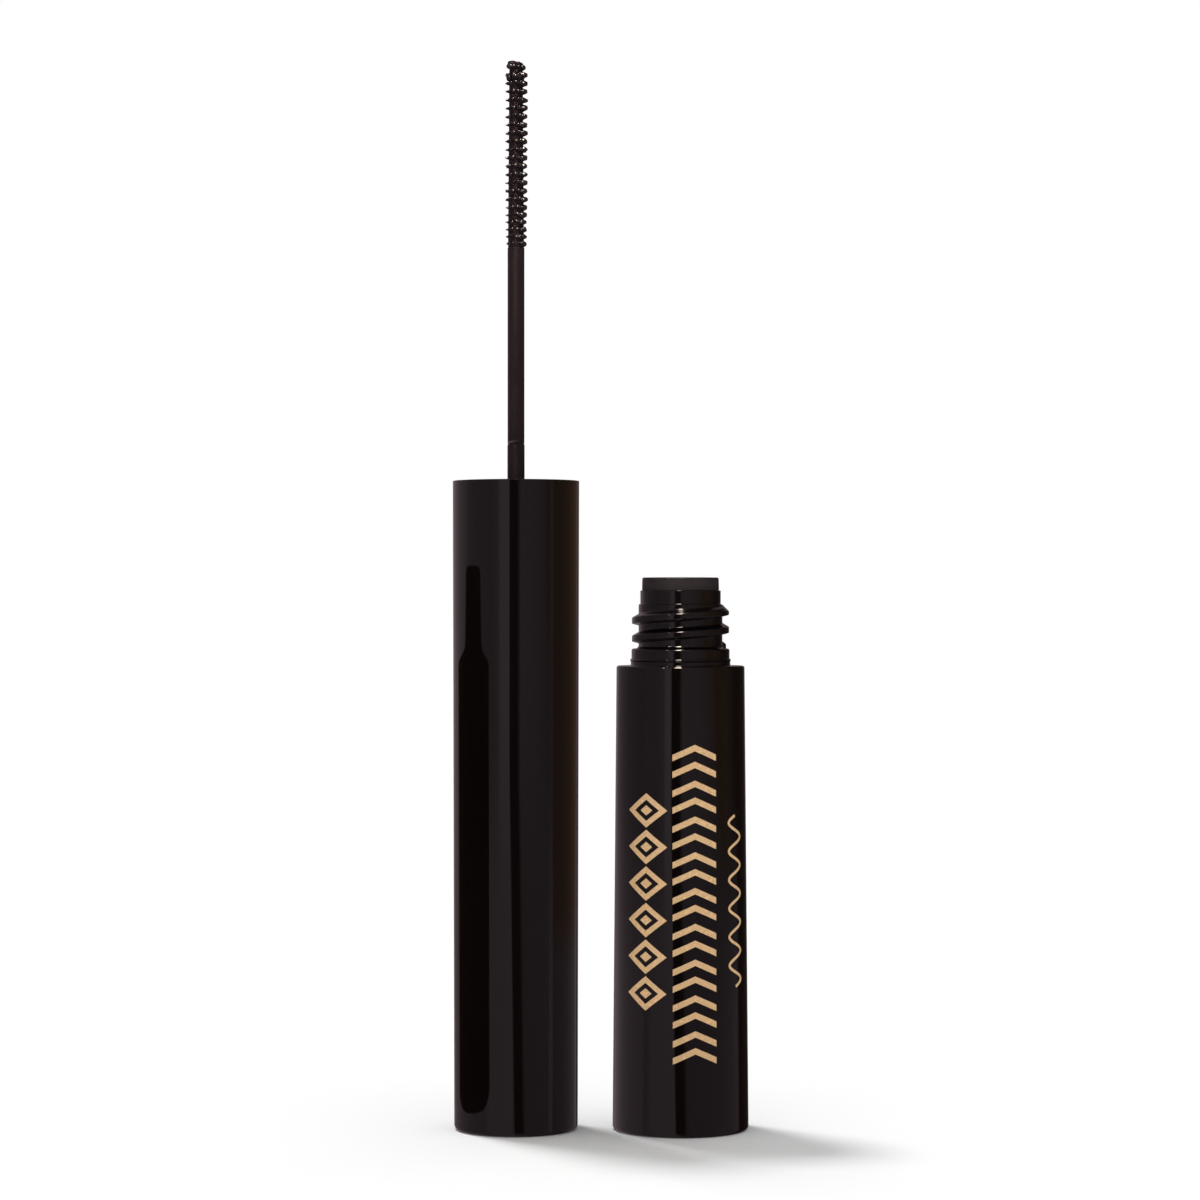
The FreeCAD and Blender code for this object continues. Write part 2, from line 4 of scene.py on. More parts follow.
import bmesh
import bpy
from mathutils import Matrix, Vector


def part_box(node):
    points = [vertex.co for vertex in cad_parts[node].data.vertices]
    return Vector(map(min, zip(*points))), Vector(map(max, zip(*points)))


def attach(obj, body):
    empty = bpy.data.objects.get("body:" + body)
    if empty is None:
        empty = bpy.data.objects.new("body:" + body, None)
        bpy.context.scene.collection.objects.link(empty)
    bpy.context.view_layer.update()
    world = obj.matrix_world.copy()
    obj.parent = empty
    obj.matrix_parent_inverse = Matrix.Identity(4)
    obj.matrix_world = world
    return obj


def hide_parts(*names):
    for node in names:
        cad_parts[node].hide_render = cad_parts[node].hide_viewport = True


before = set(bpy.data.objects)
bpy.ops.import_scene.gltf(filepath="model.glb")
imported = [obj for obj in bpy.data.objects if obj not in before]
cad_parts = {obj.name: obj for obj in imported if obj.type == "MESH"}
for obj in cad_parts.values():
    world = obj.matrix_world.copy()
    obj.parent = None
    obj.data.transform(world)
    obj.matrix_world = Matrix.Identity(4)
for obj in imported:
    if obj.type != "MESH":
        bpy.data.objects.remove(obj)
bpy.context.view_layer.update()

# Looks of an open mascara tube. The bottle stands on the origin and the cap beside it, at -X, with its
# wand pointing up. Meshes are worked out in millimetres, as the sizes below are, and stored in metres.

MM = 0.001
TINY = 1e-6

# ---------------------------------------------------------------------------------------------------
# Sizes taken from the frame, in millimetres
# ---------------------------------------------------------------------------------------------------


def size_of(node):
    """Middle of a round node's axis in X, its widest radius, its lowest and its highest point."""
    low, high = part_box(node)
    return (low.x + high.x) / 2 / MM, (high.x - low.x) / 2 / MM, low.z / MM, high.z / MM


SLEEVE_X, SLEEVE_FOOT_RADIUS, SLEEVE_FOOT, SHOULDER_HEIGHT = size_of("outer_sleeve")
VIAL_X, VIAL_RADIUS, VIAL_BOTTOM, NECK_TOP = size_of("inner_vial")
WIPER_X, WIPER_FLANGE_RADIUS, WIPER_BOTTOM, WIPER_TOP = size_of("wiper")
CAP_X, CAP_MOUTH_RADIUS, CAP_FOOT, CAP_TOP = size_of("cap_shell")
STEM_X, STEM_ROOT_RADIUS, STEM_BOTTOM, STEM_TOP = size_of("stem")
BRUSH_X, _, PIN_BOTTOM, _ = size_of("brush")

# ---------------------------------------------------------------------------------------------------
# Mesh helpers
# ---------------------------------------------------------------------------------------------------

ARC_STEP = math.radians(9)


def rounded(corners):
    """Points of a closed outline of corners (radius, height[, rounding]), arcs included."""
    points = []
    count = len(corners)
    for index, corner in enumerate(corners):
        here = Vector(corner[:2])
        rounding = corner[2] if len(corner) > 2 else 0.0
        if rounding <= 0.0:
            points.append((here.x, here.y))
            continue
        back = Vector(corners[index - 1][:2]) - here
        ahead = Vector(corners[(index + 1) % count][:2]) - here
        back.normalize()
        ahead.normalize()
        half = math.acos(max(-1.0, min(1.0, back.dot(ahead)))) / 2
        middle = here + (back + ahead).normalized() * (rounding / math.sin(half))
        first = here + back * (rounding / math.tan(half)) - middle
        last = here + ahead * (rounding / math.tan(half)) - middle
        sweep = math.atan2(first.x * last.y - first.y * last.x, first.dot(last))
        steps = max(3, math.ceil(abs(sweep) / ARC_STEP))
        for step in range(steps + 1):
            turn = sweep * step / steps
            across = first.x * math.cos(turn) - first.y * math.sin(turn)
            up = first.x * math.sin(turn) + first.y * math.cos(turn)
            points.append((middle.x + across, middle.y + up))
    return points


def refined(points, low, high, step, beyond):
    """Add points to the steep runs of an outline that lie between two heights, outside a radius."""
    result = []
    count = len(points)
    for index in range(count):
        here = points[index]
        after = points[(index + 1) % count]
        result.append(here)
        bottom, top = sorted((here[1], after[1]))
        if bottom < low - TINY or top > high + TINY or min(here[0], after[0]) < beyond:
            continue
        pieces = max(1, round((top - bottom) / step))
        for piece in range(1, pieces):
            share = piece / pieces
            radius = here[0] + (after[0] - here[0]) * share
            result.append((radius, here[1] + (after[1] - here[1]) * share))
    return result


def lathe(points, axis_x, columns=192, ridge=None):
    """Mesh of a closed outline turned round an upright axis, its wall moved out by ridge()."""
    mesh = bmesh.new()
    rings = []
    for radius, height in points:
        if radius < TINY:
            rings.append([mesh.verts.new((axis_x * MM, 0.0, height * MM))])
            continue
        ring = []
        for column in range(columns):
            angle = 2 * math.pi * column / columns
            reach = radius + (ridge(angle, height, radius) if ridge else 0.0)
            ring.append(mesh.verts.new((
                (axis_x + reach * math.cos(angle)) * MM,
                reach * math.sin(angle) * MM,
                height * MM,
            )))
        rings.append(ring)
    for index, ring in enumerate(rings):
        after = rings[(index + 1) % len(rings)]
        if len(ring) == 1 and len(after) == 1:
            continue
        for column in range(columns):
            follow = (column + 1) % columns
            corners = [ring[column % len(ring)], ring[follow % len(ring)]]
            corners += [after[follow % len(after)], after[column % len(after)]]
            mesh.faces.new(list(dict.fromkeys(corners)))
    bmesh.ops.recalc_face_normals(mesh, faces=mesh.faces)
    return mesh


def mesh_object(name, mesh, material=None):
    """Turn a bmesh into an object of the scene."""
    data = bpy.data.meshes.new(name)
    mesh.to_mesh(data)
    mesh.free()
    if material is not None:
        data.materials.append(material)
    made = bpy.data.objects.new(name, data)
    bpy.context.scene.collection.objects.link(made)
    return made


def shade(data, sharp_degrees):
    """Shade a mesh smooth, but for its edges sharper than an angle."""
    for polygon in data.polygons:
        polygon.use_smooth = True
    data.set_sharp_from_angle(angle=math.radians(sharp_degrees))


def make_piece(name, mesh, material, body, replaced, sharp_degrees=40.0):
    """Turn a bmesh into a shaded piece that rides on a body."""
    piece = mesh_object(name, mesh, material)
    shade(piece.data, sharp_degrees)
    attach(piece, body)
    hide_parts(*replaced)
    return piece


# ---------------------------------------------------------------------------------------------------
# Materials
# ---------------------------------------------------------------------------------------------------


# Most of a noise's values lie between these two.
NOISE_LOW = 0.3
NOISE_HIGH = 0.7


class Graph:
    """Small builder for a tree of shader nodes. A value is an output to link, a number or a colour."""

    def __init__(self, tree):
        self.nodes = tree.nodes
        self.links = tree.links

    def feed(self, value, socket):
        if isinstance(value, bpy.types.NodeSocket):
            self.links.new(value, socket)
        elif isinstance(value, tuple):
            socket.default_value = (*value, 1.0)
        else:
            socket.default_value = value

    def math(self, operation, *values):
        node = self.nodes.new("ShaderNodeMath")
        node.operation = operation
        for socket, value in zip(node.inputs, values):
            self.feed(value, socket)
        return node.outputs["Value"]

    def spread(self, value, low, high, start, end, interpolation="LINEAR"):
        """Map the values from start to end onto those from low to high, and stop there."""
        node = self.nodes.new("ShaderNodeMapRange")
        node.interpolation_type = interpolation
        ranges = (("From Min", start), ("From Max", end), ("To Min", low), ("To Max", high))
        for name, given in (("Value", value), *ranges):
            self.feed(given, node.inputs[name])
        return node.outputs["Result"]

    def mix(self, share, first, second):
        """Mix two colours."""
        node = self.nodes.new("ShaderNodeMix")
        node.data_type = "RGBA"
        for name, given in (("Factor", share), ("A", first), ("B", second)):
            self.feed(given, node.inputs[name])
        return node.outputs["Result"]

    def ramp(self, value, stops):
        """Colour ramp over stops of (position, colour)."""
        node = self.nodes.new("ShaderNodeValToRGB")
        elements = node.color_ramp.elements
        while len(elements) < len(stops):
            elements.new(0.5)
        for element, (position, color) in zip(elements, stops):
            element.position = position
            element.color = (*color, 1.0)
        self.feed(value, node.inputs["Fac"])
        return node.outputs["Color"]

    def coordinates(self, kind):
        return self.nodes.new("ShaderNodeTexCoord").outputs[kind]

    def axes(self, place):
        """X, Y and Z of a place."""
        split = self.nodes.new("ShaderNodeSeparateXYZ")
        self.feed(place, split.inputs["Vector"])
        return split.outputs


class Shader(Graph):
    """Principled material whose textures use the object's own coordinates, in metres."""

    def __init__(self, name):
        self.material = bpy.data.materials.new(name)
        self.material.use_nodes = True
        super().__init__(self.material.node_tree)
        self.surface = self.nodes["Principled BSDF"]
        self.place = self.coordinates("Object")

    def noise(self, scale, detail=3.0, roughness=0.5, stretch=(1.0, 1.0, 1.0)):
        """Noise with about scale features a metre, stretched per axis."""
        mapping = self.nodes.new("ShaderNodeMapping")
        mapping.inputs["Scale"].default_value = stretch
        self.feed(self.place, mapping.inputs["Vector"])
        texture = self.nodes.new("ShaderNodeTexNoise")
        texture.inputs["Scale"].default_value = scale
        texture.inputs["Detail"].default_value = detail
        texture.inputs["Roughness"].default_value = roughness
        self.feed(mapping.outputs["Vector"], texture.inputs["Vector"])
        return texture.outputs["Fac"]

    def color(self, noise, low, high):
        """Let the colour drift between two with a noise."""
        drift = self.ramp(noise, [(NOISE_LOW, low), (NOISE_HIGH, high)])
        self.feed(drift, self.surface.inputs["Base Color"])

    def rough(self, noise, low, high):
        """Let the roughness drift between two values with a noise."""
        drift = self.spread(noise, low, high, NOISE_LOW, NOISE_HIGH)
        self.feed(drift, self.surface.inputs["Roughness"])

    def bumps(self, *layers):
        """Stack bumps: each layer is (height value, distance in millimetres)."""
        normal = None
        for value, distance in layers:
            node = self.nodes.new("ShaderNodeBump")
            node.inputs["Distance"].default_value = distance * MM
            self.feed(value, node.inputs["Height"])
            if normal is not None:
                self.feed(normal, node.inputs["Normal"])
            normal = node.outputs["Normal"]
        self.feed(normal, self.surface.inputs["Normal"])

    def set(self, **values):
        for name, value in values.items():
            self.surface.inputs[name.replace("_", " ")].default_value = value


def gloss_plastic(name, dark, light, rough_low, rough_high, ripple):
    """Polished moulded plastic: near-black, with a faint ripple, fine rubs and dust."""
    shader = Shader(name)
    drift = shader.noise(60.0, detail=2.0)
    rubs = shader.noise(900.0, detail=6.0, roughness=0.65, stretch=(1.0, 1.0, 0.12))
    ripple_noise = shader.noise(110.0, detail=1.0, stretch=(1.0, 1.0, 0.35))
    grain = shader.noise(5200.0, detail=2.0)
    shader.color(drift, dark, light)
    shader.rough(rubs, rough_low, rough_high)
    shader.bumps((ripple_noise, ripple), (grain, 0.0006))
    shader.set(IOR=1.5)
    return shader.material


def matte_plastic(name, dark, light, rough_low, rough_high, grain_depth, specular=0.5):
    """Soft moulded plastic with an even fine grain."""
    shader = Shader(name)
    drift = shader.noise(260.0, detail=4.0)
    grain = shader.noise(6500.0, detail=3.0)
    shader.color(drift, dark, light)
    shader.rough(drift, rough_low, rough_high)
    shader.bumps((grain, grain_depth))
    shader.set(Specular_IOR_Level=specular)
    return shader.material


def foil_metal(name):
    """Satin hot-stamped gold: warm, slightly mottled, with a faint fine grain."""
    shader = Shader(name)
    mottle = shader.noise(1500.0, detail=5.0, roughness=0.6)
    drift = shader.noise(120.0, detail=2.0)
    grain = shader.noise(9000.0, detail=2.0)
    shader.color(drift, (0.96, 0.62, 0.31), (1.0, 0.67, 0.345))
    shader.rough(mottle, 0.2, 0.32)
    shader.bumps((mottle, 0.0012), (grain, 0.0012))
    shader.set(Metallic=0.28, Specular_IOR_Level=0.6)
    return shader.material


def wet_mascara(name, rough_low, rough_high, clump_depth):
    """Thick wet black mascara: smooth and shiny where wet, dull and grainy where it dries."""
    shader = Shader(name)
    clumps = shader.noise(2600.0, detail=5.0, roughness=0.6)
    fine = shader.noise(9000.0, detail=3.0)
    shader.color(clumps, (0.0032, 0.0018, 0.0016), (0.0075, 0.005, 0.0046))
    shader.rough(clumps, rough_low, rough_high)
    shader.bumps((clumps, clump_depth), (fine, 0.004))
    return shader.material


# A painted highlight on the front of the stem, along its line: a light streak that climbs to the right
# and fades out there.
PAINTED_GLINT_HEIGHT = 68.73
PAINTED_GLINT_SLOPE = 0.18
PAINTED_GLINT_CORE = 0.04
PAINTED_GLINT_EDGE = 0.14
PAINTED_GLINT_LEFT = -0.75
PAINTED_GLINT_RIGHT = 0.35
PAINTED_GLINT_COLOR = (0.11, 0.08, 0.083)
STEM_TINTS = ((0.018, 0.0108, 0.0112), (0.023, 0.0138, 0.0142))


def stem_plastic(name):
    """Satin moulded rod, with faint draw lines along it, a thin dried film and one painted highlight
    streak on its front.
    """
    shader = Shader(name)
    lines = shader.noise(4200.0, detail=3.0, stretch=(1.0, 1.0, 0.02))
    film = shader.noise(420.0, detail=4.0, stretch=(1.0, 1.0, 0.4))
    tint = shader.ramp(film, list(zip((NOISE_LOW, NOISE_HIGH), STEM_TINTS)))
    # Painted highlight: a light slanted streak mixed into the base colour, on the front half only.
    east, north, up = shader.axes(shader.place)
    across = shader.math("SUBTRACT", east, STEM_X * MM)
    painted_glint_height = shader.math("MULTIPLY_ADD", across, PAINTED_GLINT_SLOPE, PAINTED_GLINT_HEIGHT * MM)
    beside = shader.math("ABSOLUTE", shader.math("SUBTRACT", up, painted_glint_height))
    near = shader.spread(beside, 1.0, 0.0, PAINTED_GLINT_CORE * MM, PAINTED_GLINT_EDGE * MM)
    fade = shader.spread(across, 1.0, 0.0, PAINTED_GLINT_LEFT * MM, PAINTED_GLINT_RIGHT * MM)
    in_front = shader.math("LESS_THAN", north, 0.0)
    painted_glint = shader.math("MULTIPLY", shader.math("MULTIPLY", near, fade), in_front)
    shader.feed(shader.mix(painted_glint, tint, PAINTED_GLINT_COLOR), shader.surface.inputs["Base Color"])
    shader.rough(film, 0.3, 0.42)
    shader.bumps((lines, 0.0025), (film, 0.004))
    shader.set(Specular_IOR_Level=0.16)
    return shader.material


# The brush's coat is dull up to the first distance from its axis, and wet from the second one.
COAT_DULL_TO = 0.84
COAT_WET_FROM = 0.96
COAT_ROUGHNESS = (0.45, 0.1)
COAT_SPECULAR = (0.12, 1.0)


def brush_coat(name):
    """Mascara on the brush: a dull film on the core, wet and shiny towards the tips of the teeth."""
    shader = Shader(name)
    clumps = shader.noise(2600.0, detail=5.0, roughness=0.6)
    fine = shader.noise(9000.0, detail=3.0)
    east, north, _ = shader.axes(shader.place)
    across = shader.math("SUBTRACT", east, BRUSH_X * MM)
    squares = [shader.math("MULTIPLY", side, side) for side in (across, north)]
    from_axis = shader.math("SQRT", shader.math("ADD", *squares))
    shader.color(clumps, (0.0105, 0.0062, 0.0066), (0.0165, 0.0101, 0.0106))
    for name_of_input, values in (("Roughness", COAT_ROUGHNESS), ("Specular IOR Level", COAT_SPECULAR)):
        value = shader.spread(from_axis, *values, COAT_DULL_TO * MM, COAT_WET_FROM * MM)
        shader.feed(value, shader.surface.inputs[name_of_input])
    shader.bumps((clumps, 0.003), (fine, 0.004))
    return shader.material


BLACK_DARK = (0.0016, 0.0009, 0.0008)
BLACK_LIGHT = (0.0024, 0.0015, 0.0013)
VIAL_DARK = (0.002, 0.0013, 0.0012)
VIAL_LIGHT = (0.0032, 0.0022, 0.002)
WIPER_DARK = (0.0185, 0.0135, 0.015)
WIPER_LIGHT = (0.0235, 0.0175, 0.0195)
INNER_CAP_DARK = (0.008, 0.007, 0.007)
INNER_CAP_LIGHT = (0.012, 0.0105, 0.0105)
WASHER_DARK = (0.42, 0.41, 0.39)
WASHER_LIGHT = (0.52, 0.51, 0.49)
MATERIALS = {
    "shell": gloss_plastic("gloss_black_shell", BLACK_DARK, BLACK_LIGHT, 0.05, 0.09, 0.004),
    "vial": gloss_plastic("gloss_black_vial", VIAL_DARK, VIAL_LIGHT, 0.09, 0.15, 0.003),
    "wiper": matte_plastic("matte_black_wiper", WIPER_DARK, WIPER_LIGHT, 0.56, 0.68, 0.003, 0.3),
    "inner_cap": matte_plastic(
        "satin_black_inner_cap", INNER_CAP_DARK, INNER_CAP_LIGHT, 0.32, 0.42, 0.002),
    "washer": matte_plastic("pale_foam_washer", WASHER_DARK, WASHER_LIGHT, 0.7, 0.85, 0.02, 0.2),
    "plug": gloss_plastic("gloss_black_plug", BLACK_DARK, BLACK_LIGHT, 0.14, 0.22, 0.004),
    "stem": stem_plastic("satin_black_stem"),
    "brush": brush_coat("mascara_on_brush"),
    "formula": wet_mascara("mascara_in_vial", 0.12, 0.3, 0.05),
    "foil": foil_metal("satin_gold_foil"),
}

# ---------------------------------------------------------------------------------------------------
# Bottle
# ---------------------------------------------------------------------------------------------------

SLEEVE_TOP_RADIUS = 6.4
SLEEVE_BORE_FOOT_RADIUS = 5.8
SLEEVE_BORE_TOP_RADIUS = 5.42
SLEEVE_ROOF_UNDERSIDE = 45.1
COLLAR_HOLE_RADIUS = 4.93
LIP_FOOT_RADIUS = 4.98
LIP_WAIST_HEIGHT = 0.4
LIP_TOP_RADIUS = 5.03
LIP_BEAD_HEIGHT = 0.5
LIP_HEIGHT = 0.68
PLUG_THICKNESS = 1.3


def make_sleeve():
    """Glossy outer sleeve: rounded foot, crisp shoulder, thin beaded lip round the collar."""
    outline = rounded([
        (SLEEVE_BORE_FOOT_RADIUS, SLEEVE_FOOT, 0.08),
        (SLEEVE_FOOT_RADIUS, SLEEVE_FOOT, 0.42),
        (SLEEVE_TOP_RADIUS, SHOULDER_HEIGHT, 0.22),
        (LIP_FOOT_RADIUS, SHOULDER_HEIGHT, 0.05),
        (LIP_FOOT_RADIUS, SHOULDER_HEIGHT + LIP_WAIST_HEIGHT, 0.1),
        (LIP_TOP_RADIUS, SHOULDER_HEIGHT + LIP_BEAD_HEIGHT, 0.04),
        (LIP_TOP_RADIUS, SHOULDER_HEIGHT + LIP_HEIGHT, 0.09),
        (COLLAR_HOLE_RADIUS, SHOULDER_HEIGHT + LIP_HEIGHT, 0.01),
        (COLLAR_HOLE_RADIUS, SLEEVE_ROOF_UNDERSIDE),
        (SLEEVE_BORE_TOP_RADIUS, SLEEVE_ROOF_UNDERSIDE),
        (SLEEVE_BORE_FOOT_RADIUS, PLUG_THICKNESS),
    ])
    mesh = lathe(outline, SLEEVE_X, columns=256)
    return make_piece("sleeve", mesh, MATERIALS["shell"], "bottle", ["outer_sleeve"])


COLLAR_RADIUS = 4.9
COLLAR_TOP = 48.0
NECK_RADIUS = 4.19
NECK_FILLET = 0.38
LAND_BOTTOM = 52.4
LAND_RADIUS = 4.02
NECK_BORE_RADIUS = 3.38
NECK_BORE_BOTTOM = 45.8
CHAMBER_RADIUS = 4.4
CHAMBER_TOP = 44.9
VIAL_FLOOR = 3.0

THREAD_PITCH = 1.8
THREAD_START = 48.1
THREAD_TURNS = 2.36
THREAD_HEIGHT = 0.67
# Heights over the thread's middle between which the lower flank rises and the upper one falls.
THREAD_LOWER_FLANK = (-0.5, -0.27)
THREAD_UPPER_FLANK = (0.2, 0.74)
# Turns between which the thread grows at its start and dies at its end.
THREAD_FADE_IN = (-0.02, 0.06)
THREAD_FADE_OUT = (THREAD_TURNS - 0.22, THREAD_TURNS)
WALL_TOLERANCE = 0.01
THREAD_MESH_STEP = 0.045


def smooth_step(low, high, value):
    share = max(0.0, min(1.0, (value - low) / (high - low)))
    return share * share * (3 - 2 * share)


def neck_thread(angle, height, radius):
    """How far the thread stands out of the wall: steep below, gentle above, fading at both ends."""
    on_wall = LAND_RADIUS + WALL_TOLERANCE < radius < NECK_RADIUS + NECK_FILLET
    if not on_wall or not COLLAR_TOP < height <= LAND_BOTTOM:
        return 0.0
    reach = 0.0
    for whole in range(math.ceil(THREAD_TURNS)):
        turns = angle / (2 * math.pi) + whole
        above = height - (THREAD_START + THREAD_PITCH * turns)
        lower = smooth_step(*THREAD_LOWER_FLANK, above)
        upper = 1 - smooth_step(*THREAD_UPPER_FLANK, above)
        fade = smooth_step(*THREAD_FADE_IN, turns) * (1 - smooth_step(*THREAD_FADE_OUT, turns))
        reach = max(reach, THREAD_HEIGHT * lower * upper * fade)
    return max(0.0, min(reach, LAND_BOTTOM - height) - (radius - NECK_RADIUS))


def make_vial():
    """Inner vial: closed foot, chamber, collar, threaded neck and plain land."""
    outline = rounded([
        (0.0, VIAL_BOTTOM),
        (VIAL_RADIUS, VIAL_BOTTOM, 0.7),
        (VIAL_RADIUS, SLEEVE_ROOF_UNDERSIDE),
        (COLLAR_RADIUS, SLEEVE_ROOF_UNDERSIDE),
        (COLLAR_RADIUS, COLLAR_TOP, 0.2),
        (NECK_RADIUS, COLLAR_TOP, NECK_FILLET),
        (NECK_RADIUS, LAND_BOTTOM, 0.05),
        (LAND_RADIUS, LAND_BOTTOM + 0.06, 0.04),
        (LAND_RADIUS, NECK_TOP, 0.04),
        (NECK_BORE_RADIUS, NECK_TOP),
        (NECK_BORE_RADIUS, NECK_BORE_BOTTOM),
        (CHAMBER_RADIUS, CHAMBER_TOP),
        (CHAMBER_RADIUS, VIAL_FLOOR, 0.8),
        (0.0, VIAL_FLOOR),
    ])
    lowest_radius = LAND_RADIUS + WALL_TOLERANCE
    outline = refined(outline, COLLAR_TOP, LAND_BOTTOM, THREAD_MESH_STEP, lowest_radius)
    mesh = lathe(outline, VIAL_X, columns=288, ridge=neck_thread)
    return make_piece("vial", mesh, MATERIALS["vial"], "bottle", ["inner_vial"], 60.0)


WIPER_WELL_RADIUS = 2.95
WIPER_WELL_BOTTOM = 45.9
WIPER_BEAD_RADIUS = 3.52
WIPER_BEAD_TOP = 45.55
WIPER_BEAD_BOTTOM = 45.1
WIPER_LIP_TOP = 42.9
WIPER_LIP_OUTER_RADIUS = 1.45
WIPER_ORIFICE_RADIUS = 0.88


def make_wiper():
    """Matte insert: flange on the neck, sleeve in its bore, bead, cone and lip round the orifice."""
    outline = rounded([
        (WIPER_WELL_RADIUS, WIPER_TOP, 0.18),
        (WIPER_FLANGE_RADIUS - 0.03, WIPER_TOP, 0.18),
        (WIPER_FLANGE_RADIUS, NECK_TOP, 0.05),
        (NECK_BORE_RADIUS, NECK_TOP),
        (NECK_BORE_RADIUS, NECK_BORE_BOTTOM),
        (WIPER_BEAD_RADIUS, WIPER_BEAD_TOP, 0.08),
        (WIPER_BEAD_RADIUS, WIPER_BEAD_BOTTOM, 0.08),
        (WIPER_LIP_OUTER_RADIUS, WIPER_BOTTOM, 0.12),
        (WIPER_ORIFICE_RADIUS, WIPER_BOTTOM, 0.06),
        (WIPER_ORIFICE_RADIUS, WIPER_LIP_TOP, 0.15),
        (WIPER_WELL_RADIUS, WIPER_WELL_BOTTOM, 0.5),
    ])
    mesh = lathe(outline, WIPER_X, columns=192)
    return make_piece(
        "wiper_insert", mesh, MATERIALS["wiper"], "bottle", ["wiper"])


# ---------------------------------------------------------------------------------------------------
# Gold foil on the sleeve. A motif lies in a cell whose sides run from -1 to 1: the first number goes up
# the bottle, the second goes across its face, to the right.
# ---------------------------------------------------------------------------------------------------

FOIL_THICKNESS = 0.03
LOZENGE_HOLE = 0.62
LOZENGE_CORE = 0.3
CHEVRON_OFFSET = 0.5
CHEVRON_RISE = 0.3
CHEVRON_HALF_STROKE = 0.19

# Columns: middle azimuth in degrees from the bottle's front, lowest height, highest height, cells.
LOZENGE_COLUMN = (-32.3, 12.35, 33.95, 6)
CHEVRON_COLUMN = (11.3, 7.15, 38.75, 9)
FOIL_COLUMN_WIDTH = 4.46
FOIL_CELL_FILL = 0.94
FOIL_STRIPS = 15
FOIL_MERGE = 0.002

WAVE_AZIMUTH = 53.5
WAVE_BOTTOM = 14.65
WAVE_TOP = 31.55
WAVE_REACH = 0.95
WAVE_CYCLES = 6
WAVE_HALF_STROKE = 0.14
WAVE_STEPS_PER_CYCLE = 24


def sleeve_radius(height):
    """Outer radius of the sleeve at a height."""
    return SLEEVE_FOOT_RADIUS + (SLEEVE_TOP_RADIUS - SLEEVE_FOOT_RADIUS) * height / SHOULDER_HEIGHT


def lozenge(scale):
    return [(-scale, 0.0), (0.0, -scale), (scale, 0.0), (0.0, scale)]


def lozenge_frame():
    """Four mitred sides of an open lozenge."""
    outer = lozenge(1.0)
    inner = lozenge(LOZENGE_HOLE)
    sides = []
    for index in range(4):
        after = (index + 1) % 4
        sides.append([outer[index], outer[after], inner[after], inner[index]])
    return sides


def chevron(middle):
    """Two arms of a V that points up the bottle."""
    low = middle - CHEVRON_RISE
    high = middle + CHEVRON_RISE
    stroke = CHEVRON_HALF_STROKE
    return [
        [(low - stroke, -1.0), (high - stroke, 0.0), (high + stroke, 0.0), (low + stroke, -1.0)],
        [(high - stroke, 0.0), (low - stroke, 1.0), (low + stroke, 1.0), (high + stroke, 0.0)],
    ]


def in_cells(column, shapes):
    """Yield (azimuth, shape) for shapes moved into every cell of a column."""
    azimuth, low, high, count = column
    pitch = (high - low) / count
    for index in range(count):
        middle = low + (index + 0.5) * pitch
        for shape in shapes:
            yield azimuth, [(middle + up * pitch * FOIL_CELL_FILL / 2, across * FOIL_COLUMN_WIDTH / 2)
                            for up, across in shape]


def wave_pieces():
    """Yield (azimuth, shape) for the short lengths of the wavy line."""
    steps = WAVE_CYCLES * WAVE_STEPS_PER_CYCLE

    def edge(step, side):
        share = step / steps
        up = WAVE_BOTTOM + (WAVE_TOP - WAVE_BOTTOM) * share
        phase = 2 * math.pi * WAVE_CYCLES * share
        slope = WAVE_REACH * 2 * math.pi * WAVE_CYCLES / (WAVE_TOP - WAVE_BOTTOM) * math.cos(phase)
        normal = Vector((-slope, 1.0)).normalized() * WAVE_HALF_STROKE * side
        return up + normal.x, WAVE_REACH * math.sin(phase) + normal.y

    for step in range(steps):
        yield WAVE_AZIMUTH, [edge(step, -1), edge(step + 1, -1), edge(step + 1, 1), edge(step, 1)]


def add_flat_shape(mesh, azimuth, shape):
    """Add a shape cut into upright strips; its points are (azimuth, way across, height) for now."""
    flat = bmesh.new()
    flat.faces.new([flat.verts.new((across, up, 0.0)) for up, across in shape])
    for strip in range(1, FOIL_STRIPS):
        cut = FOIL_COLUMN_WIDTH * (strip / FOIL_STRIPS - 0.5)
        geometry = flat.verts[:] + flat.edges[:] + flat.faces[:]
        bmesh.ops.bisect_plane(flat, geom=geometry, plane_co=(cut, 0, 0), plane_no=(1, 0, 0))
    flat.verts.index_update()
    made = [mesh.verts.new((azimuth, vert.co.x, vert.co.y)) for vert in flat.verts]
    for face in flat.faces:
        mesh.faces.new([made[vert.index] for vert in face.verts])
    flat.free()


def make_foil():
    """All foil shapes as one thin skin wrapped on the sleeve."""
    shapes = list(in_cells(LOZENGE_COLUMN, lozenge_frame() + [lozenge(LOZENGE_CORE)]))
    for middle in (-CHEVRON_OFFSET, CHEVRON_OFFSET):
        shapes += in_cells(CHEVRON_COLUMN, chevron(middle))
    shapes += wave_pieces()
    mesh = bmesh.new()
    for azimuth, shape in shapes:
        add_flat_shape(mesh, azimuth, shape)
    bmesh.ops.remove_doubles(mesh, verts=mesh.verts, dist=FOIL_MERGE)
    for vert in mesh.verts:
        azimuth, across, up = vert.co
        radius = sleeve_radius(up)
        angle = math.radians(azimuth) + across / radius
        vert.co = Vector((math.sin(angle) * radius, -math.cos(angle) * radius, up)) * MM
    bmesh.ops.recalc_face_normals(mesh, faces=mesh.faces)
    for face in mesh.faces:
        if face.normal.dot(face.calc_center_median() * Vector((1, 1, 0))) < 0:
            face.normal_flip()
    bmesh.ops.solidify(mesh, geom=mesh.faces[:], thickness=-FOIL_THICKNESS * MM)
    bmesh.ops.recalc_face_normals(mesh, faces=mesh.faces)
    return make_piece("foil", mesh, MATERIALS["foil"], "bottle", ["foil_print"], 30.0)


# ---------------------------------------------------------------------------------------------------
# Cap
# ---------------------------------------------------------------------------------------------------

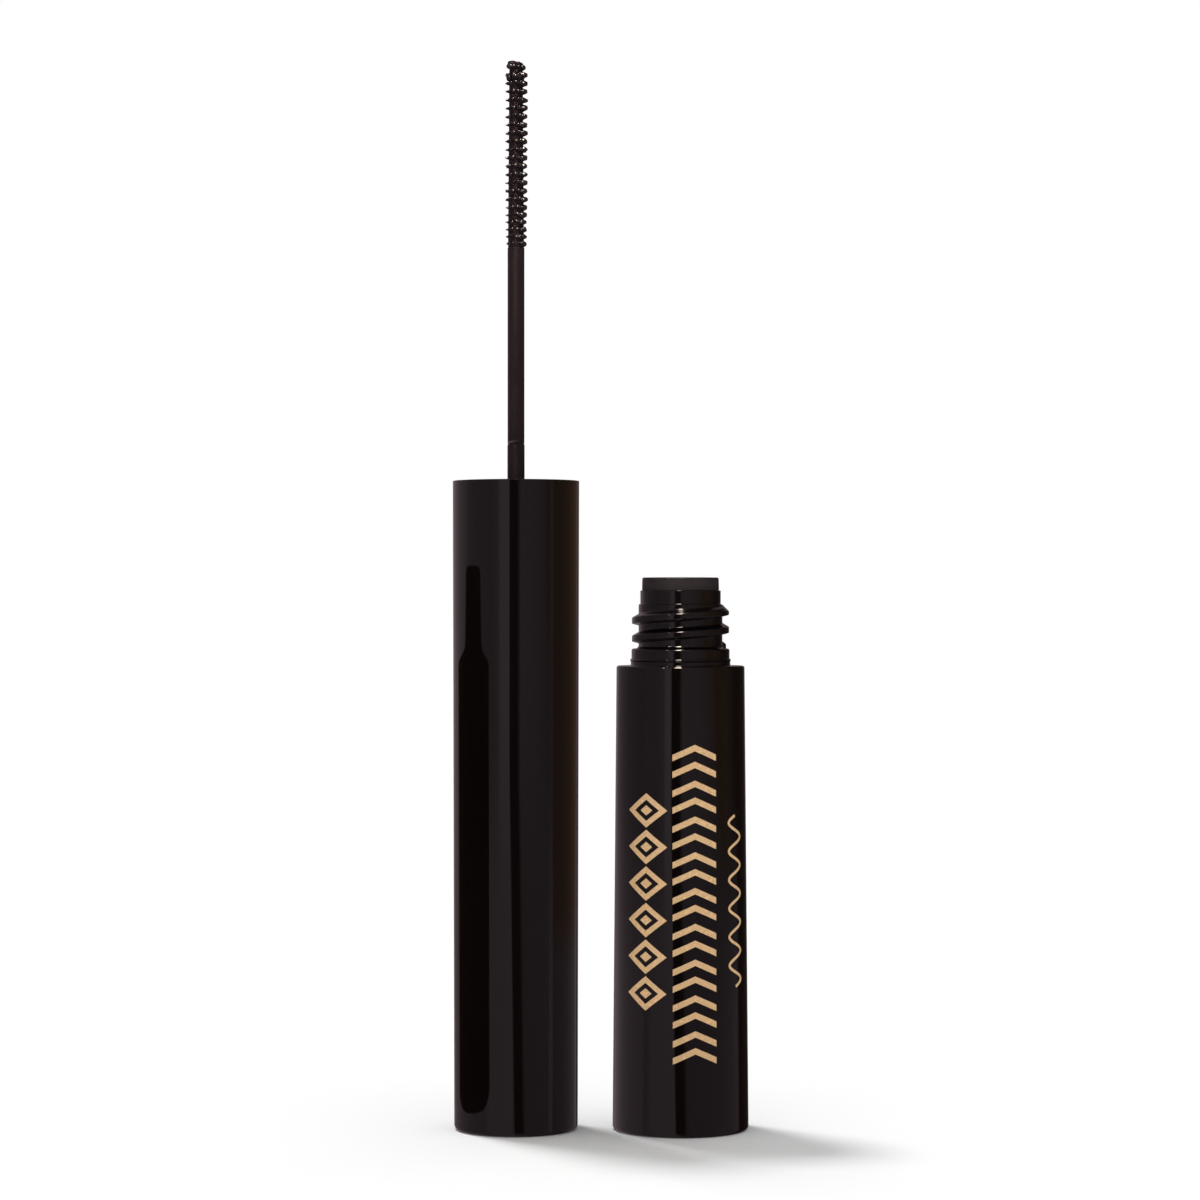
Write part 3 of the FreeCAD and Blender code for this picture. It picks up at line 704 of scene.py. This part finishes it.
CAP_END_RADIUS = 6.17
CAP_SEAT_RADIUS = 5.4
CAP_SEAT_BOTTOM = 40.0
CAP_CORE_RADIUS = 5.15
CAP_FLOOR = 1.2


def make_cap_shell():
    """Glossy cap shell: rounded closed end down, thin crisp lip up."""
    outline = rounded([
        (0.0, CAP_FOOT),
        (CAP_END_RADIUS, CAP_FOOT, 0.5),
        (CAP_MOUTH_RADIUS, CAP_TOP, 0.06),
        (CAP_SEAT_RADIUS, CAP_TOP, 0.12),
        (CAP_SEAT_RADIUS, CAP_SEAT_BOTTOM),
        (CAP_CORE_RADIUS, CAP_SEAT_BOTTOM),
        (CAP_CORE_RADIUS, CAP_FLOOR, 0.6),
        (0.0, CAP_FLOOR),
    ])
    mesh = lathe(outline, CAP_X, columns=256)
    return make_piece("cap_outer", mesh, MATERIALS["shell"], "cap", ["cap_shell"])


STEM_LOWER_RADIUS = 0.86
STEM_UPPER_RADIUS = 0.84
STEM_LINE_HEIGHT = 68.5
STEM_LINE_HALF_WIDTH = 0.07
STEM_LINE_DEPTH = 0.05
STEM_ROOT_TOP = 56.4
STEM_TAPER_TOP = 57.4
PIN_RADIUS = 0.45


def make_stem():
    """Stem of the wand, with its thick root and the fine line where the wiper's lip sits."""
    outline = rounded([
        (0.0, STEM_BOTTOM),
        (STEM_ROOT_RADIUS, STEM_BOTTOM, 0.1),
        (STEM_ROOT_RADIUS, STEM_ROOT_TOP, 0.2),
        (STEM_LOWER_RADIUS, STEM_TAPER_TOP, 0.5),
        (STEM_LOWER_RADIUS, STEM_LINE_HEIGHT - 2 * STEM_LINE_HALF_WIDTH, 0.02),
        (STEM_UPPER_RADIUS - STEM_LINE_DEPTH, STEM_LINE_HEIGHT - STEM_LINE_HALF_WIDTH, 0.02),
        (STEM_UPPER_RADIUS, STEM_LINE_HEIGHT, 0.02),
        (STEM_UPPER_RADIUS, STEM_TOP, 0.08),
        (PIN_RADIUS, STEM_TOP),
        (PIN_RADIUS, PIN_BOTTOM),
        (0.0, PIN_BOTTOM),
    ])
    mesh = lathe(outline, STEM_X, columns=64)
    return make_piece("wand_stem", mesh, MATERIALS["stem"], "cap", ["stem"])


# ---------------------------------------------------------------------------------------------------
# Brush
# ---------------------------------------------------------------------------------------------------

CORE_BASE_RADIUS = 0.80
CORE_TIP_RADIUS = 0.67
LOW_RING_HEIGHT = 88.45
LOW_RING_PITCH = 0.72
LOW_RING_COUNT = 5
HIGH_RING_PITCH = 0.83
HIGH_RING_COUNT = 17
TEETH_PER_RING = 12
HEAD_MIDDLE = 106.22
SECOND_RING_HEIGHT = 105.15
TOOTH_ROOT = 0.45
LOW_TOOTH_REACH = 1.01
HIGH_TOOTH_REACH = 1.11
LOADED_REACH = 0.07
BRUSH_SEED = 11
BRUSH_VOXEL = 0.034
BRUSH_SMOOTHING = 3

# Radii of a tooth at even steps from its root to its tip, bare and loaded with mascara.
BARE_TOOTH = (0.34, 0.27, 0.18, 0.12, 0.085, 0.055)
LOADED_TOOTH = (0.44, 0.42, 0.37, 0.31, 0.26, 0.17)
TOOTH_DROOP = 0.08
# The load by the cosine of the angle from the brush's right side, turned a little to the front.
LOAD_RANGE = (0.15, 0.9)
LOAD_TURN = 0.3
# The teeth reach further along this first share of the brush.
REACH_GROWS_OVER = 0.35
# How much teeth differ, in angle and as factors of their load and reach.
TOOTH_ANGLES = (-0.06, 0.06)
TOOTH_LOADS = (0.6, 1.0)
TOOTH_REACHES = (0.95, 1.02)

# Drops on the tips of loaded teeth, and flatter ones on the teeth that face the front.
TIP_DROP_CHANCE = 0.9
TIP_DROP_INSET = 0.13
TIP_DROP_SIZES = (0.15, 0.2)
FACING = 0.75
FACING_DROP_CHANCE = 0.75
FACING_DROP = 0.17
FACING_DROP_SIZES = (0.75, 1.1)
FACING_DROP_INSET = 0.04
FACING_DROP_FLATNESS = 0.45

# Rings of drops that coat the head: height, reach, size of a drop, rise towards the right side.
COATED_RINGS = (
    (SECOND_RING_HEIGHT, 1.08, 0.23, 0.06),
    (SECOND_RING_HEIGHT - 0.2, 0.92, 0.23, 0.04),
    (HEAD_MIDDLE - 0.08, 1.08, 0.27, -0.07),
    (HEAD_MIDDLE + 0.2, 0.82, 0.26, -0.1),
)
COATED_RING_DROPS = 11
# How much its drops differ, in steps round the ring and as factors of their size and reach.
COATED_DROP_STEPS = (-0.25, 0.25)
COATED_DROP_SIZES = (0.8, 1.15)
COATED_DROP_REACHES = (0.88, 1.05)


def ring_heights():
    """Heights of the rings of teeth, closer together near the stem."""
    heights = [LOW_RING_HEIGHT + LOW_RING_PITCH * index for index in range(LOW_RING_COUNT)]
    first = LOW_RING_HEIGHT + LOW_RING_PITCH * LOW_RING_COUNT
    return heights + [first + HIGH_RING_PITCH * index for index in range(HIGH_RING_COUNT)]


def add_rod(mesh, start, end, widths, sides=10):
    """Add a closed rod from start to end, whose radii at even steps along it are given."""
    along = end - start
    side = along.cross(Vector((0, 0, 1)))
    if side.length < TINY:
        side = Vector((1, 0, 0))
    side.normalize()
    up = side.cross(along).normalized()
    rings = []
    for index, width in enumerate(widths):
        middle = start + along * index / (len(widths) - 1)
        ring = []
        for step in range(sides):
            angle = 2 * math.pi * step / sides
            out = side * math.cos(angle) + up * math.sin(angle)
            ring.append(mesh.verts.new(middle + out * width))
        rings.append(ring)
    for low, high in zip(rings, rings[1:]):
        for step in range(sides):
            after = (step + 1) % sides
            mesh.faces.new([low[step], low[after], high[after], high[step]])
    mesh.faces.new(rings[0][::-1])
    mesh.faces.new(rings[-1])


def add_drop(mesh, middle, size, flatness=1.0):
    """Add a drop of mascara, flattened towards the brush's axis."""
    out = Vector((middle.x, middle.y, 0)).normalized()
    made = bmesh.ops.create_icosphere(mesh, subdivisions=2, radius=size)
    for vert in made["verts"]:
        vert.co = vert.co - out * vert.co.dot(out) * (1 - flatness) + middle


def add_tooth(mesh, angle, height, reach, load, rng):
    """Add one tooth: a thorn where it is bare, a thick lobe where mascara loads it."""
    widths = [thin + (thick - thin) * load for thin, thick in zip(BARE_TOOTH, LOADED_TOOTH)]
    out = Vector((math.cos(angle), math.sin(angle), 0))
    droop = rng.uniform(-TOOTH_DROOP, TOOTH_DROOP)
    root = out * TOOTH_ROOT + Vector((0, 0, height))
    add_rod(mesh, root, out * reach + Vector((0, 0, height + droop)), widths)
    tip = Vector((0, 0, height + droop))
    if rng.random() < TIP_DROP_CHANCE * load:
        add_drop(mesh, out * (reach - TIP_DROP_INSET) + tip, rng.uniform(*TIP_DROP_SIZES))
    if out.y < -FACING and rng.random() < FACING_DROP_CHANCE:
        size = FACING_DROP * rng.uniform(*FACING_DROP_SIZES)
        add_drop(mesh, out * (reach - FACING_DROP_INSET) + tip, size, FACING_DROP_FLATNESS)


def add_coated_ring(mesh, height, reach, size, tilt, rng):
    """Add a ring of drops that run together, tilted to one side."""
    for step in range(COATED_RING_DROPS):
        angle = 2 * math.pi * (step + rng.uniform(*COATED_DROP_STEPS)) / COATED_RING_DROPS
        drop = size * rng.uniform(*COATED_DROP_SIZES)
        out = reach * rng.uniform(*COATED_DROP_REACHES) - drop
        place = Vector((math.cos(angle) * out, math.sin(angle) * out, height + tilt * math.cos(angle)))
        add_drop(mesh, place, drop)
        inner = Vector((place.x * 0.5, place.y * 0.5, place.z))
        add_drop(mesh, inner, drop)


def skinned(mesh):
    """Melt overlapping closed shapes into one smooth skin."""
    seed = mesh_object("brush_seed", mesh)
    remesh = seed.modifiers.new("skin", "REMESH")
    remesh.mode = "VOXEL"
    remesh.voxel_size = BRUSH_VOXEL
    relax = seed.modifiers.new("relax", "SMOOTH")
    relax.factor = 0.5
    relax.iterations = BRUSH_SMOOTHING
    depsgraph = bpy.context.evaluated_depsgraph_get()
    data = bpy.data.meshes.new_from_object(seed.evaluated_get(depsgraph))
    bpy.data.objects.remove(seed)
    result = bmesh.new()
    result.from_mesh(data)
    bpy.data.meshes.remove(data)
    return result


def make_brush():
    """Moulded micro brush: tapering core, rings of short teeth, coated head, all in one wet skin."""
    rng = random.Random(BRUSH_SEED)
    mesh = bmesh.new()
    core_end = Vector((0, 0, HEAD_MIDDLE))
    add_rod(mesh, Vector((0, 0, STEM_TOP)), core_end, [CORE_BASE_RADIUS, CORE_TIP_RADIUS], 32)
    for index, height in enumerate(ring_heights()):
        share = index / (LOW_RING_COUNT + HIGH_RING_COUNT - 1)
        growth = smooth_step(0.0, REACH_GROWS_OVER, share)
        tip = LOW_TOOTH_REACH + (HIGH_TOOTH_REACH - LOW_TOOTH_REACH) * growth
        turned = rng.uniform(0.0, 1.0)
        for tooth in range(TEETH_PER_RING):
            angle = 2 * math.pi * (tooth + turned) / TEETH_PER_RING + rng.uniform(*TOOTH_ANGLES)
            load = smooth_step(*LOAD_RANGE, math.cos(angle + LOAD_TURN)) * rng.uniform(*TOOTH_LOADS)
            reach = tip * rng.uniform(*TOOTH_REACHES) + LOADED_REACH * load
            add_tooth(mesh, angle, height, reach, load, rng)
    for ring in COATED_RINGS:
        add_coated_ring(mesh, *ring, rng)
    skin = skinned(mesh)
    for vert in skin.verts:
        vert.co = (vert.co + Vector((BRUSH_X, 0, 0))) * MM
    return make_piece("micro_brush", skin, MATERIALS["brush"], "cap", ["brush"], 180.0)


# ---------------------------------------------------------------------------------------------------
# Pieces that keep their shape from model.glb
# ---------------------------------------------------------------------------------------------------

KEPT_SHARP_DEGREES = 30.0
KEPT_NODES = {
    "base_plug": "plug",
    "mascara_formula": "formula",
    "inner_cap": "inner_cap",
    "sealing_washer": "washer",
}


def dress_kept_nodes():
    """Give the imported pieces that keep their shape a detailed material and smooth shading."""
    for node, material in KEPT_NODES.items():
        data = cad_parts[node].data
        data.materials.clear()
        data.materials.append(MATERIALS[material])
        shade(data, KEPT_SHARP_DEGREES)


# ---------------------------------------------------------------------------------------------------
# Studio
# ---------------------------------------------------------------------------------------------------

FLOOR_HALF_SIZE = 6.0
FLOOR_COLOR = (0.93, 0.93, 0.93, 1.0)


def make_floor():
    """Plain pale floor, kept out of the mirror-like reflections."""
    mesh = bmesh.new()
    bmesh.ops.create_grid(mesh, x_segments=1, y_segments=1, size=FLOOR_HALF_SIZE)
    shader = Shader("pale_floor")
    shader.set(Base_Color=FLOOR_COLOR, Roughness=1.0, Specular_IOR_Level=0.0)
    floor = mesh_object("floor", mesh, shader.material)
    floor.visible_glossy = False


# What a glossy surface sees round it, by azimuth in degrees from the front: 0 is the camera's side
# and negative is to the left. Colours are radiances. The first list holds at eye level, the second
# well below it, and they blend between EYE_LEVEL and WELL_BELOW, in degrees.
ROOM_AT_EYE_LEVEL = (
    (-180, (0.30, 0.23, 0.24)),
    (-150, (0.37, 0.29, 0.30)),
    (-105, (0.33, 0.26, 0.28)),
    (-90, (0.26, 0.20, 0.22)),
    (-44, (0.27, 0.21, 0.23)),
    (-31, (0.33, 0.26, 0.28)),
    (-27, (0.54, 0.43, 0.47)),
    (-6, (0.56, 0.45, 0.49)),
    (-2, (0.33, 0.26, 0.29)),
    (30, (0.30, 0.235, 0.26)),
    (86, (0.18, 0.12, 0.10)),
    (104, (0.085, 0.055, 0.045)),
    (116, (0.035, 0.024, 0.021)),
    (150, (0.035, 0.024, 0.021)),
    (166, (0.20, 0.15, 0.15)),
    (180, (0.26, 0.20, 0.20)),
)
ROOM_BELOW = (
    (-180, (0.26, 0.20, 0.21)),
    (-150, (0.22, 0.17, 0.18)),
    (-105, (0.27, 0.21, 0.23)),
    (-62, (0.28, 0.22, 0.24)),
    (-50, (0.38, 0.30, 0.33)),
    (-8, (0.41, 0.33, 0.36)),
    (2, (0.22, 0.17, 0.18)),
    (20, (0.23, 0.18, 0.21)),
    (60, (0.24, 0.19, 0.22)),
    (112, (0.24, 0.19, 0.21)),
    (120, (0.03, 0.02, 0.018)),
    (158, (0.03, 0.02, 0.018)),
    (180, (0.26, 0.20, 0.21)),
)
EYE_LEVEL = -0.5
WELL_BELOW = -7.5

# A brown wall fills the right-hand side. Its near edge leans away below BROWN_TOP, more and more.
BROWN_WALL = (0.19, 0.112, 0.068)
BROWN_NEAR_EDGE = 56.0
BROWN_FAR_EDGE = 96.0
BROWN_NEAR_SOFTNESS = 9.0
BROWN_FAR_SOFTNESS = 16.0
BROWN_TOP = 1.95
BROWN_LEAN = 1.5
BROWN_CURVE = 0.55

# Lamps above the camera: middle azimuth, width, lowest and highest elevation, radiance.
LAMPS = (
    (-7.0, 14.0, 22.0, 76.0, (44.0, 38.0, 32.0)),
    (-36.0, 4.0, 36.0, 41.0, (60.0, 52.0, 44.0)),
)
ROOM_LIGHT = 0.64


def room_color(graph, azimuth, elevation):
    """Colour that a glossy surface sees in a direction given in degrees."""
    place = graph.math("MULTIPLY_ADD", azimuth, 1 / 360, 0.5)
    walls = [graph.ramp(place, [(degrees / 360 + 0.5, color) for degrees, color in colors])
             for colors in (ROOM_AT_EYE_LEVEL, ROOM_BELOW)]
    sunk = graph.math("MULTIPLY", elevation, -1.0)
    room = graph.mix(graph.spread(sunk, 0.0, 1.0, -EYE_LEVEL, -WELL_BELOW, "SMOOTHSTEP"), *walls)

    down = graph.math("MAXIMUM", graph.math("SUBTRACT", BROWN_TOP, elevation), 0.0)
    lean = graph.math("MULTIPLY", down, graph.math("MULTIPLY_ADD", down, BROWN_CURVE, BROWN_LEAN))
    near_edge = graph.math("ADD", lean, BROWN_NEAR_EDGE)
    near_end = graph.math("ADD", near_edge, BROWN_NEAR_SOFTNESS)
    inside = graph.spread(azimuth, 0.0, 1.0, near_edge, near_end, "SMOOTHSTEP")
    far_start = BROWN_FAR_EDGE - BROWN_FAR_SOFTNESS
    outside = graph.spread(azimuth, 0.0, 1.0, far_start, BROWN_FAR_EDGE, "SMOOTHSTEP")
    brown = graph.math("MULTIPLY", inside, graph.math("SUBTRACT", 1.0, outside))
    room = graph.mix(brown, room, BROWN_WALL)

    for middle, width, low, high, radiance in LAMPS:
        beside = graph.math("ABSOLUTE", graph.math("SUBTRACT", azimuth, middle))
        across = graph.math("LESS_THAN", beside, width / 2)
        above = graph.math("GREATER_THAN", elevation, low)
        below = graph.math("LESS_THAN", elevation, high)
        lamp = graph.math("MULTIPLY", graph.math("MULTIPLY", across, above), below)
        room = graph.mix(lamp, room, radiance)
    return room


def make_world():
    """White room for the eye and the floor; for glossy surfaces, a studio of soft walls and lamps."""
    world = bpy.data.worlds.new("studio")
    world.use_nodes = True
    bpy.context.scene.world = world
    graph = Graph(world.node_tree)
    graph.nodes.clear()
    east, north, up = graph.axes(graph.coordinates("Generated"))
    turned = graph.math("ARCTAN2", east, graph.math("MULTIPLY", north, -1.0))
    azimuth = graph.math("MULTIPLY", turned, 180 / math.pi)
    elevation = graph.math("MULTIPLY", graph.math("ARCSINE", up), 180 / math.pi)
    room = room_color(graph, azimuth, elevation)
    path = graph.nodes.new("ShaderNodeLightPath")
    level = (ROOM_LIGHT, ROOM_LIGHT, ROOM_LIGHT)
    plain = graph.mix(path.outputs["Is Camera Ray"], level, (1.0, 1.0, 1.0))
    seen = graph.mix(path.outputs["Is Glossy Ray"], plain, room)
    background = graph.nodes.new("ShaderNodeBackground")
    graph.feed(seen, background.inputs["Color"])
    output = graph.nodes.new("ShaderNodeOutputWorld")
    graph.feed(background.outputs["Background"], output.inputs["Surface"])


SOLID = "solid"


def reflected_only(name, mesh, color, low_color=None, fade=(0.0, 1.0)):
    """Make a card or a figure that only mirror-like surfaces see.

    The color turns into low_color between the two heights in fade, and a mesh with a value
    called SOLID at its points is clear where that value is 0.
    """
    material = bpy.data.materials.new(name)
    material.use_nodes = True
    graph = Graph(material.node_tree)
    graph.nodes.clear()
    if low_color is not None:
        _, _, up = graph.axes(graph.coordinates("Object"))
        rise = graph.spread(up, 0.0, 1.0, fade[0] * MM, fade[1] * MM)
        color = graph.mix(rise, low_color, color)
    glow = graph.nodes.new("ShaderNodeEmission")
    graph.feed(color, glow.inputs["Color"])
    surface = glow.outputs["Emission"]
    if mesh.verts.layers.float.get(SOLID) is not None:
        solid = graph.nodes.new("ShaderNodeAttribute")
        solid.attribute_name = SOLID
        clear = graph.nodes.new("ShaderNodeBsdfTransparent")
        cover = graph.nodes.new("ShaderNodeMixShader")
        graph.feed(solid.outputs["Fac"], cover.inputs["Fac"])
        graph.feed(clear.outputs["BSDF"], cover.inputs[1])
        graph.feed(surface, cover.inputs[2])
        surface = cover.outputs["Shader"]
    output = graph.nodes.new("ShaderNodeOutputMaterial")
    graph.feed(surface, output.inputs["Surface"])
    piece = mesh_object(name, mesh, material)
    piece.visible_camera = False
    piece.visible_diffuse = False
    piece.visible_transmission = False
    piece.visible_shadow = False


CARD_X = -8.45
CARD_GAP = 0.1
CARD_BOTTOM = -3.0
CARD_TOP = 66.0
CAP_CARD_DEPTHS = (-6.2, 1.2)
CAP_CARD_COLORS = ((0.18, 0.105, 0.07), (0.20, 0.158, 0.175))
CAP_CARD_FADE = (16.0, 22.0)
BOTTLE_CARD_DEPTHS = (-7.4, 2.4)
BOTTLE_CARD_COLORS = ((0.235, 0.18, 0.20), (0.37, 0.285, 0.31))
BOTTLE_CARD_FADE = (14.0, 34.0)


def make_card(name, x, depths, colors, fade):
    """Upright card square to the row of the two objects, from the front depth to the back one."""
    mesh = bmesh.new()
    front, back = depths
    corners = ((front, CARD_BOTTOM), (back, CARD_BOTTOM), (back, CARD_TOP), (front, CARD_TOP))
    mesh.faces.new([mesh.verts.new(Vector((x, y, z)) * MM) for y, z in corners])
    reflected_only(name, mesh, *colors, fade)


def make_cards():
    """Two cards back to back between the bottle and the cap: each sees its card, not the other."""
    cap_side, bottle_side = CARD_X - CARD_GAP / 2, CARD_X + CARD_GAP / 2
    make_card("card_to_cap", cap_side, CAP_CARD_DEPTHS, CAP_CARD_COLORS, CAP_CARD_FADE)
    make_card("card_to_bottle", bottle_side, BOTTLE_CARD_DEPTHS, BOTTLE_CARD_COLORS, BOTTLE_CARD_FADE)


FLAG_HALF_WIDTH = 2.0
FLAG_RISE = 0.85
FLAG_NEAR = 0.15
FLAG_FAR = 2.3
FLAG_COLOR = (0.8, 0.7, 0.62)


def make_flag():
    """Small level card over the front of the cap's rim, which keeps the lamps' glint off the rim."""
    mesh = bmesh.new()
    near = -(CAP_MOUTH_RADIUS + FLAG_NEAR)
    far = -(CAP_MOUTH_RADIUS + FLAG_FAR)
    left, right = CAP_X - FLAG_HALF_WIDTH, CAP_X + FLAG_HALF_WIDTH
    corners = ((left, near), (right, near), (right, far), (left, far))
    mesh.faces.new([mesh.verts.new(Vector((x, y, CAP_TOP + FLAG_RISE)) * MM) for x, y in corners])
    reflected_only("rim_flag", mesh, FLAG_COLOR)


STAND_Y = -130.0
STAND_LEFT = -40.0
STAND_SOFT_FROM = -8.0
STAND_RIGHT = 6.0
STAND_BENDS = ((140.0, 0.0), (30.0, 0.0), (-60.0, 31.0))
STAND_COLOR = (0.045, 0.03, 0.028)


def make_stand():
    """The camera's dark stand, which shows as a black line down each glossy wall, soft on its right."""
    mesh = bmesh.new()
    solid = mesh.verts.layers.float.new(SOLID)
    rows = []
    for height, lean in STAND_BENDS:
        row = []
        for x, share in ((STAND_LEFT, 1.0), (STAND_SOFT_FROM, 1.0), (STAND_RIGHT, 0.0)):
            vert = mesh.verts.new(Vector((x + lean, STAND_Y, height)) * MM)
            vert[solid] = share
            row.append(vert)
        rows.append(row)
    for upper, lower in zip(rows, rows[1:]):
        for left in range(len(upper) - 1):
            mesh.faces.new([upper[left], upper[left + 1], lower[left + 1], lower[left]])
    reflected_only("camera_stand", mesh, STAND_COLOR)


NEIGHBOUR_AZIMUTH = -65.5
NEIGHBOUR_DISTANCE = 13.4
NEIGHBOUR_RISE = 1.4
NEIGHBOUR_NECK_RADIUS = 3.1
NEIGHBOUR_NECK_FOOT_RADIUS = 3.6
NEIGHBOUR_COLOR = (0.028, 0.017, 0.014)


def make_neighbour():
    """A second bottle beside the cap, which shows only as a dark shape in the cap's gloss."""
    outline = rounded([
        (0.0, SLEEVE_FOOT),
        (SLEEVE_TOP_RADIUS, SLEEVE_FOOT, 2.2),
        (SLEEVE_TOP_RADIUS, SHOULDER_HEIGHT - 1.0, 0.8),
        (NEIGHBOUR_NECK_FOOT_RADIUS, SHOULDER_HEIGHT + 0.5, 0.8),
        (NEIGHBOUR_NECK_RADIUS, WIPER_TOP, 0.8),
        (0.0, WIPER_TOP),
    ])
    angle = math.radians(NEIGHBOUR_AZIMUTH)
    mesh = lathe(outline, CAP_X + NEIGHBOUR_DISTANCE * math.sin(angle), columns=64)
    shift = Vector((0, -NEIGHBOUR_DISTANCE * math.cos(angle), NEIGHBOUR_RISE)) * MM
    bmesh.ops.translate(mesh, verts=mesh.verts, vec=shift)
    reflected_only("dark_neighbour", mesh, NEIGHBOUR_COLOR)


SUN_STRENGTH = 1.62
SUN_SOFTNESS = 11.0
SUN_ELEVATION = 68.0
SUN_AZIMUTH = -140.0


def make_sun():
    """Soft light from above, behind and left, which throws the shadow to the front right."""
    light = bpy.data.lights.new("key_light", "SUN")
    light.energy = SUN_STRENGTH
    light.angle = math.radians(SUN_SOFTNESS)
    sun = bpy.data.objects.new("key_light", light)
    height = math.radians(SUN_ELEVATION)
    turn = math.radians(SUN_AZIMUTH)
    level = math.cos(height)
    source = Vector((math.sin(turn) * level, -math.cos(turn) * level, math.sin(height)))
    sun.rotation_euler = source.to_track_quat("Z", "Y").to_euler()
    sun.visible_glossy = False
    bpy.context.scene.collection.objects.link(sun)


CAMERA_DISTANCE = 350.0
VIEW_WIDTH = 120.0
VIEW_MIDDLE_X = -8.05
VIEW_MIDDLE_HEIGHT = 52.85
SENSOR_WIDTH = 36.0


def make_camera():
    """Level camera in front of the two pieces, at half the wand's height."""
    data = bpy.data.cameras.new("front_camera")
    data.sensor_width = SENSOR_WIDTH
    data.lens = SENSOR_WIDTH * CAMERA_DISTANCE / VIEW_WIDTH
    data.clip_start = 0.01
    data.clip_end = 20.0
    camera = bpy.data.objects.new("front_camera", data)
    camera.location = (VIEW_MIDDLE_X * MM, -CAMERA_DISTANCE * MM, VIEW_MIDDLE_HEIGHT * MM)
    camera.rotation_euler = (math.radians(90), 0, 0)
    bpy.context.scene.collection.objects.link(camera)
    bpy.context.scene.camera = camera


def set_look():
    """Plain display of colours, so that the white room shows as white."""
    settings = bpy.context.scene.view_settings
    settings.view_transform = "Standard"
    settings.look = "None"
    settings.exposure = 0.0
    settings.gamma = 1.0


make_camera()
make_world()
make_sun()
make_floor()
make_cards()
make_flag()
make_stand()
make_neighbour()
set_look()
make_sleeve()
make_vial()
make_wiper()
make_foil()
make_cap_shell()
make_stem()
make_brush()
dress_kept_nodes()
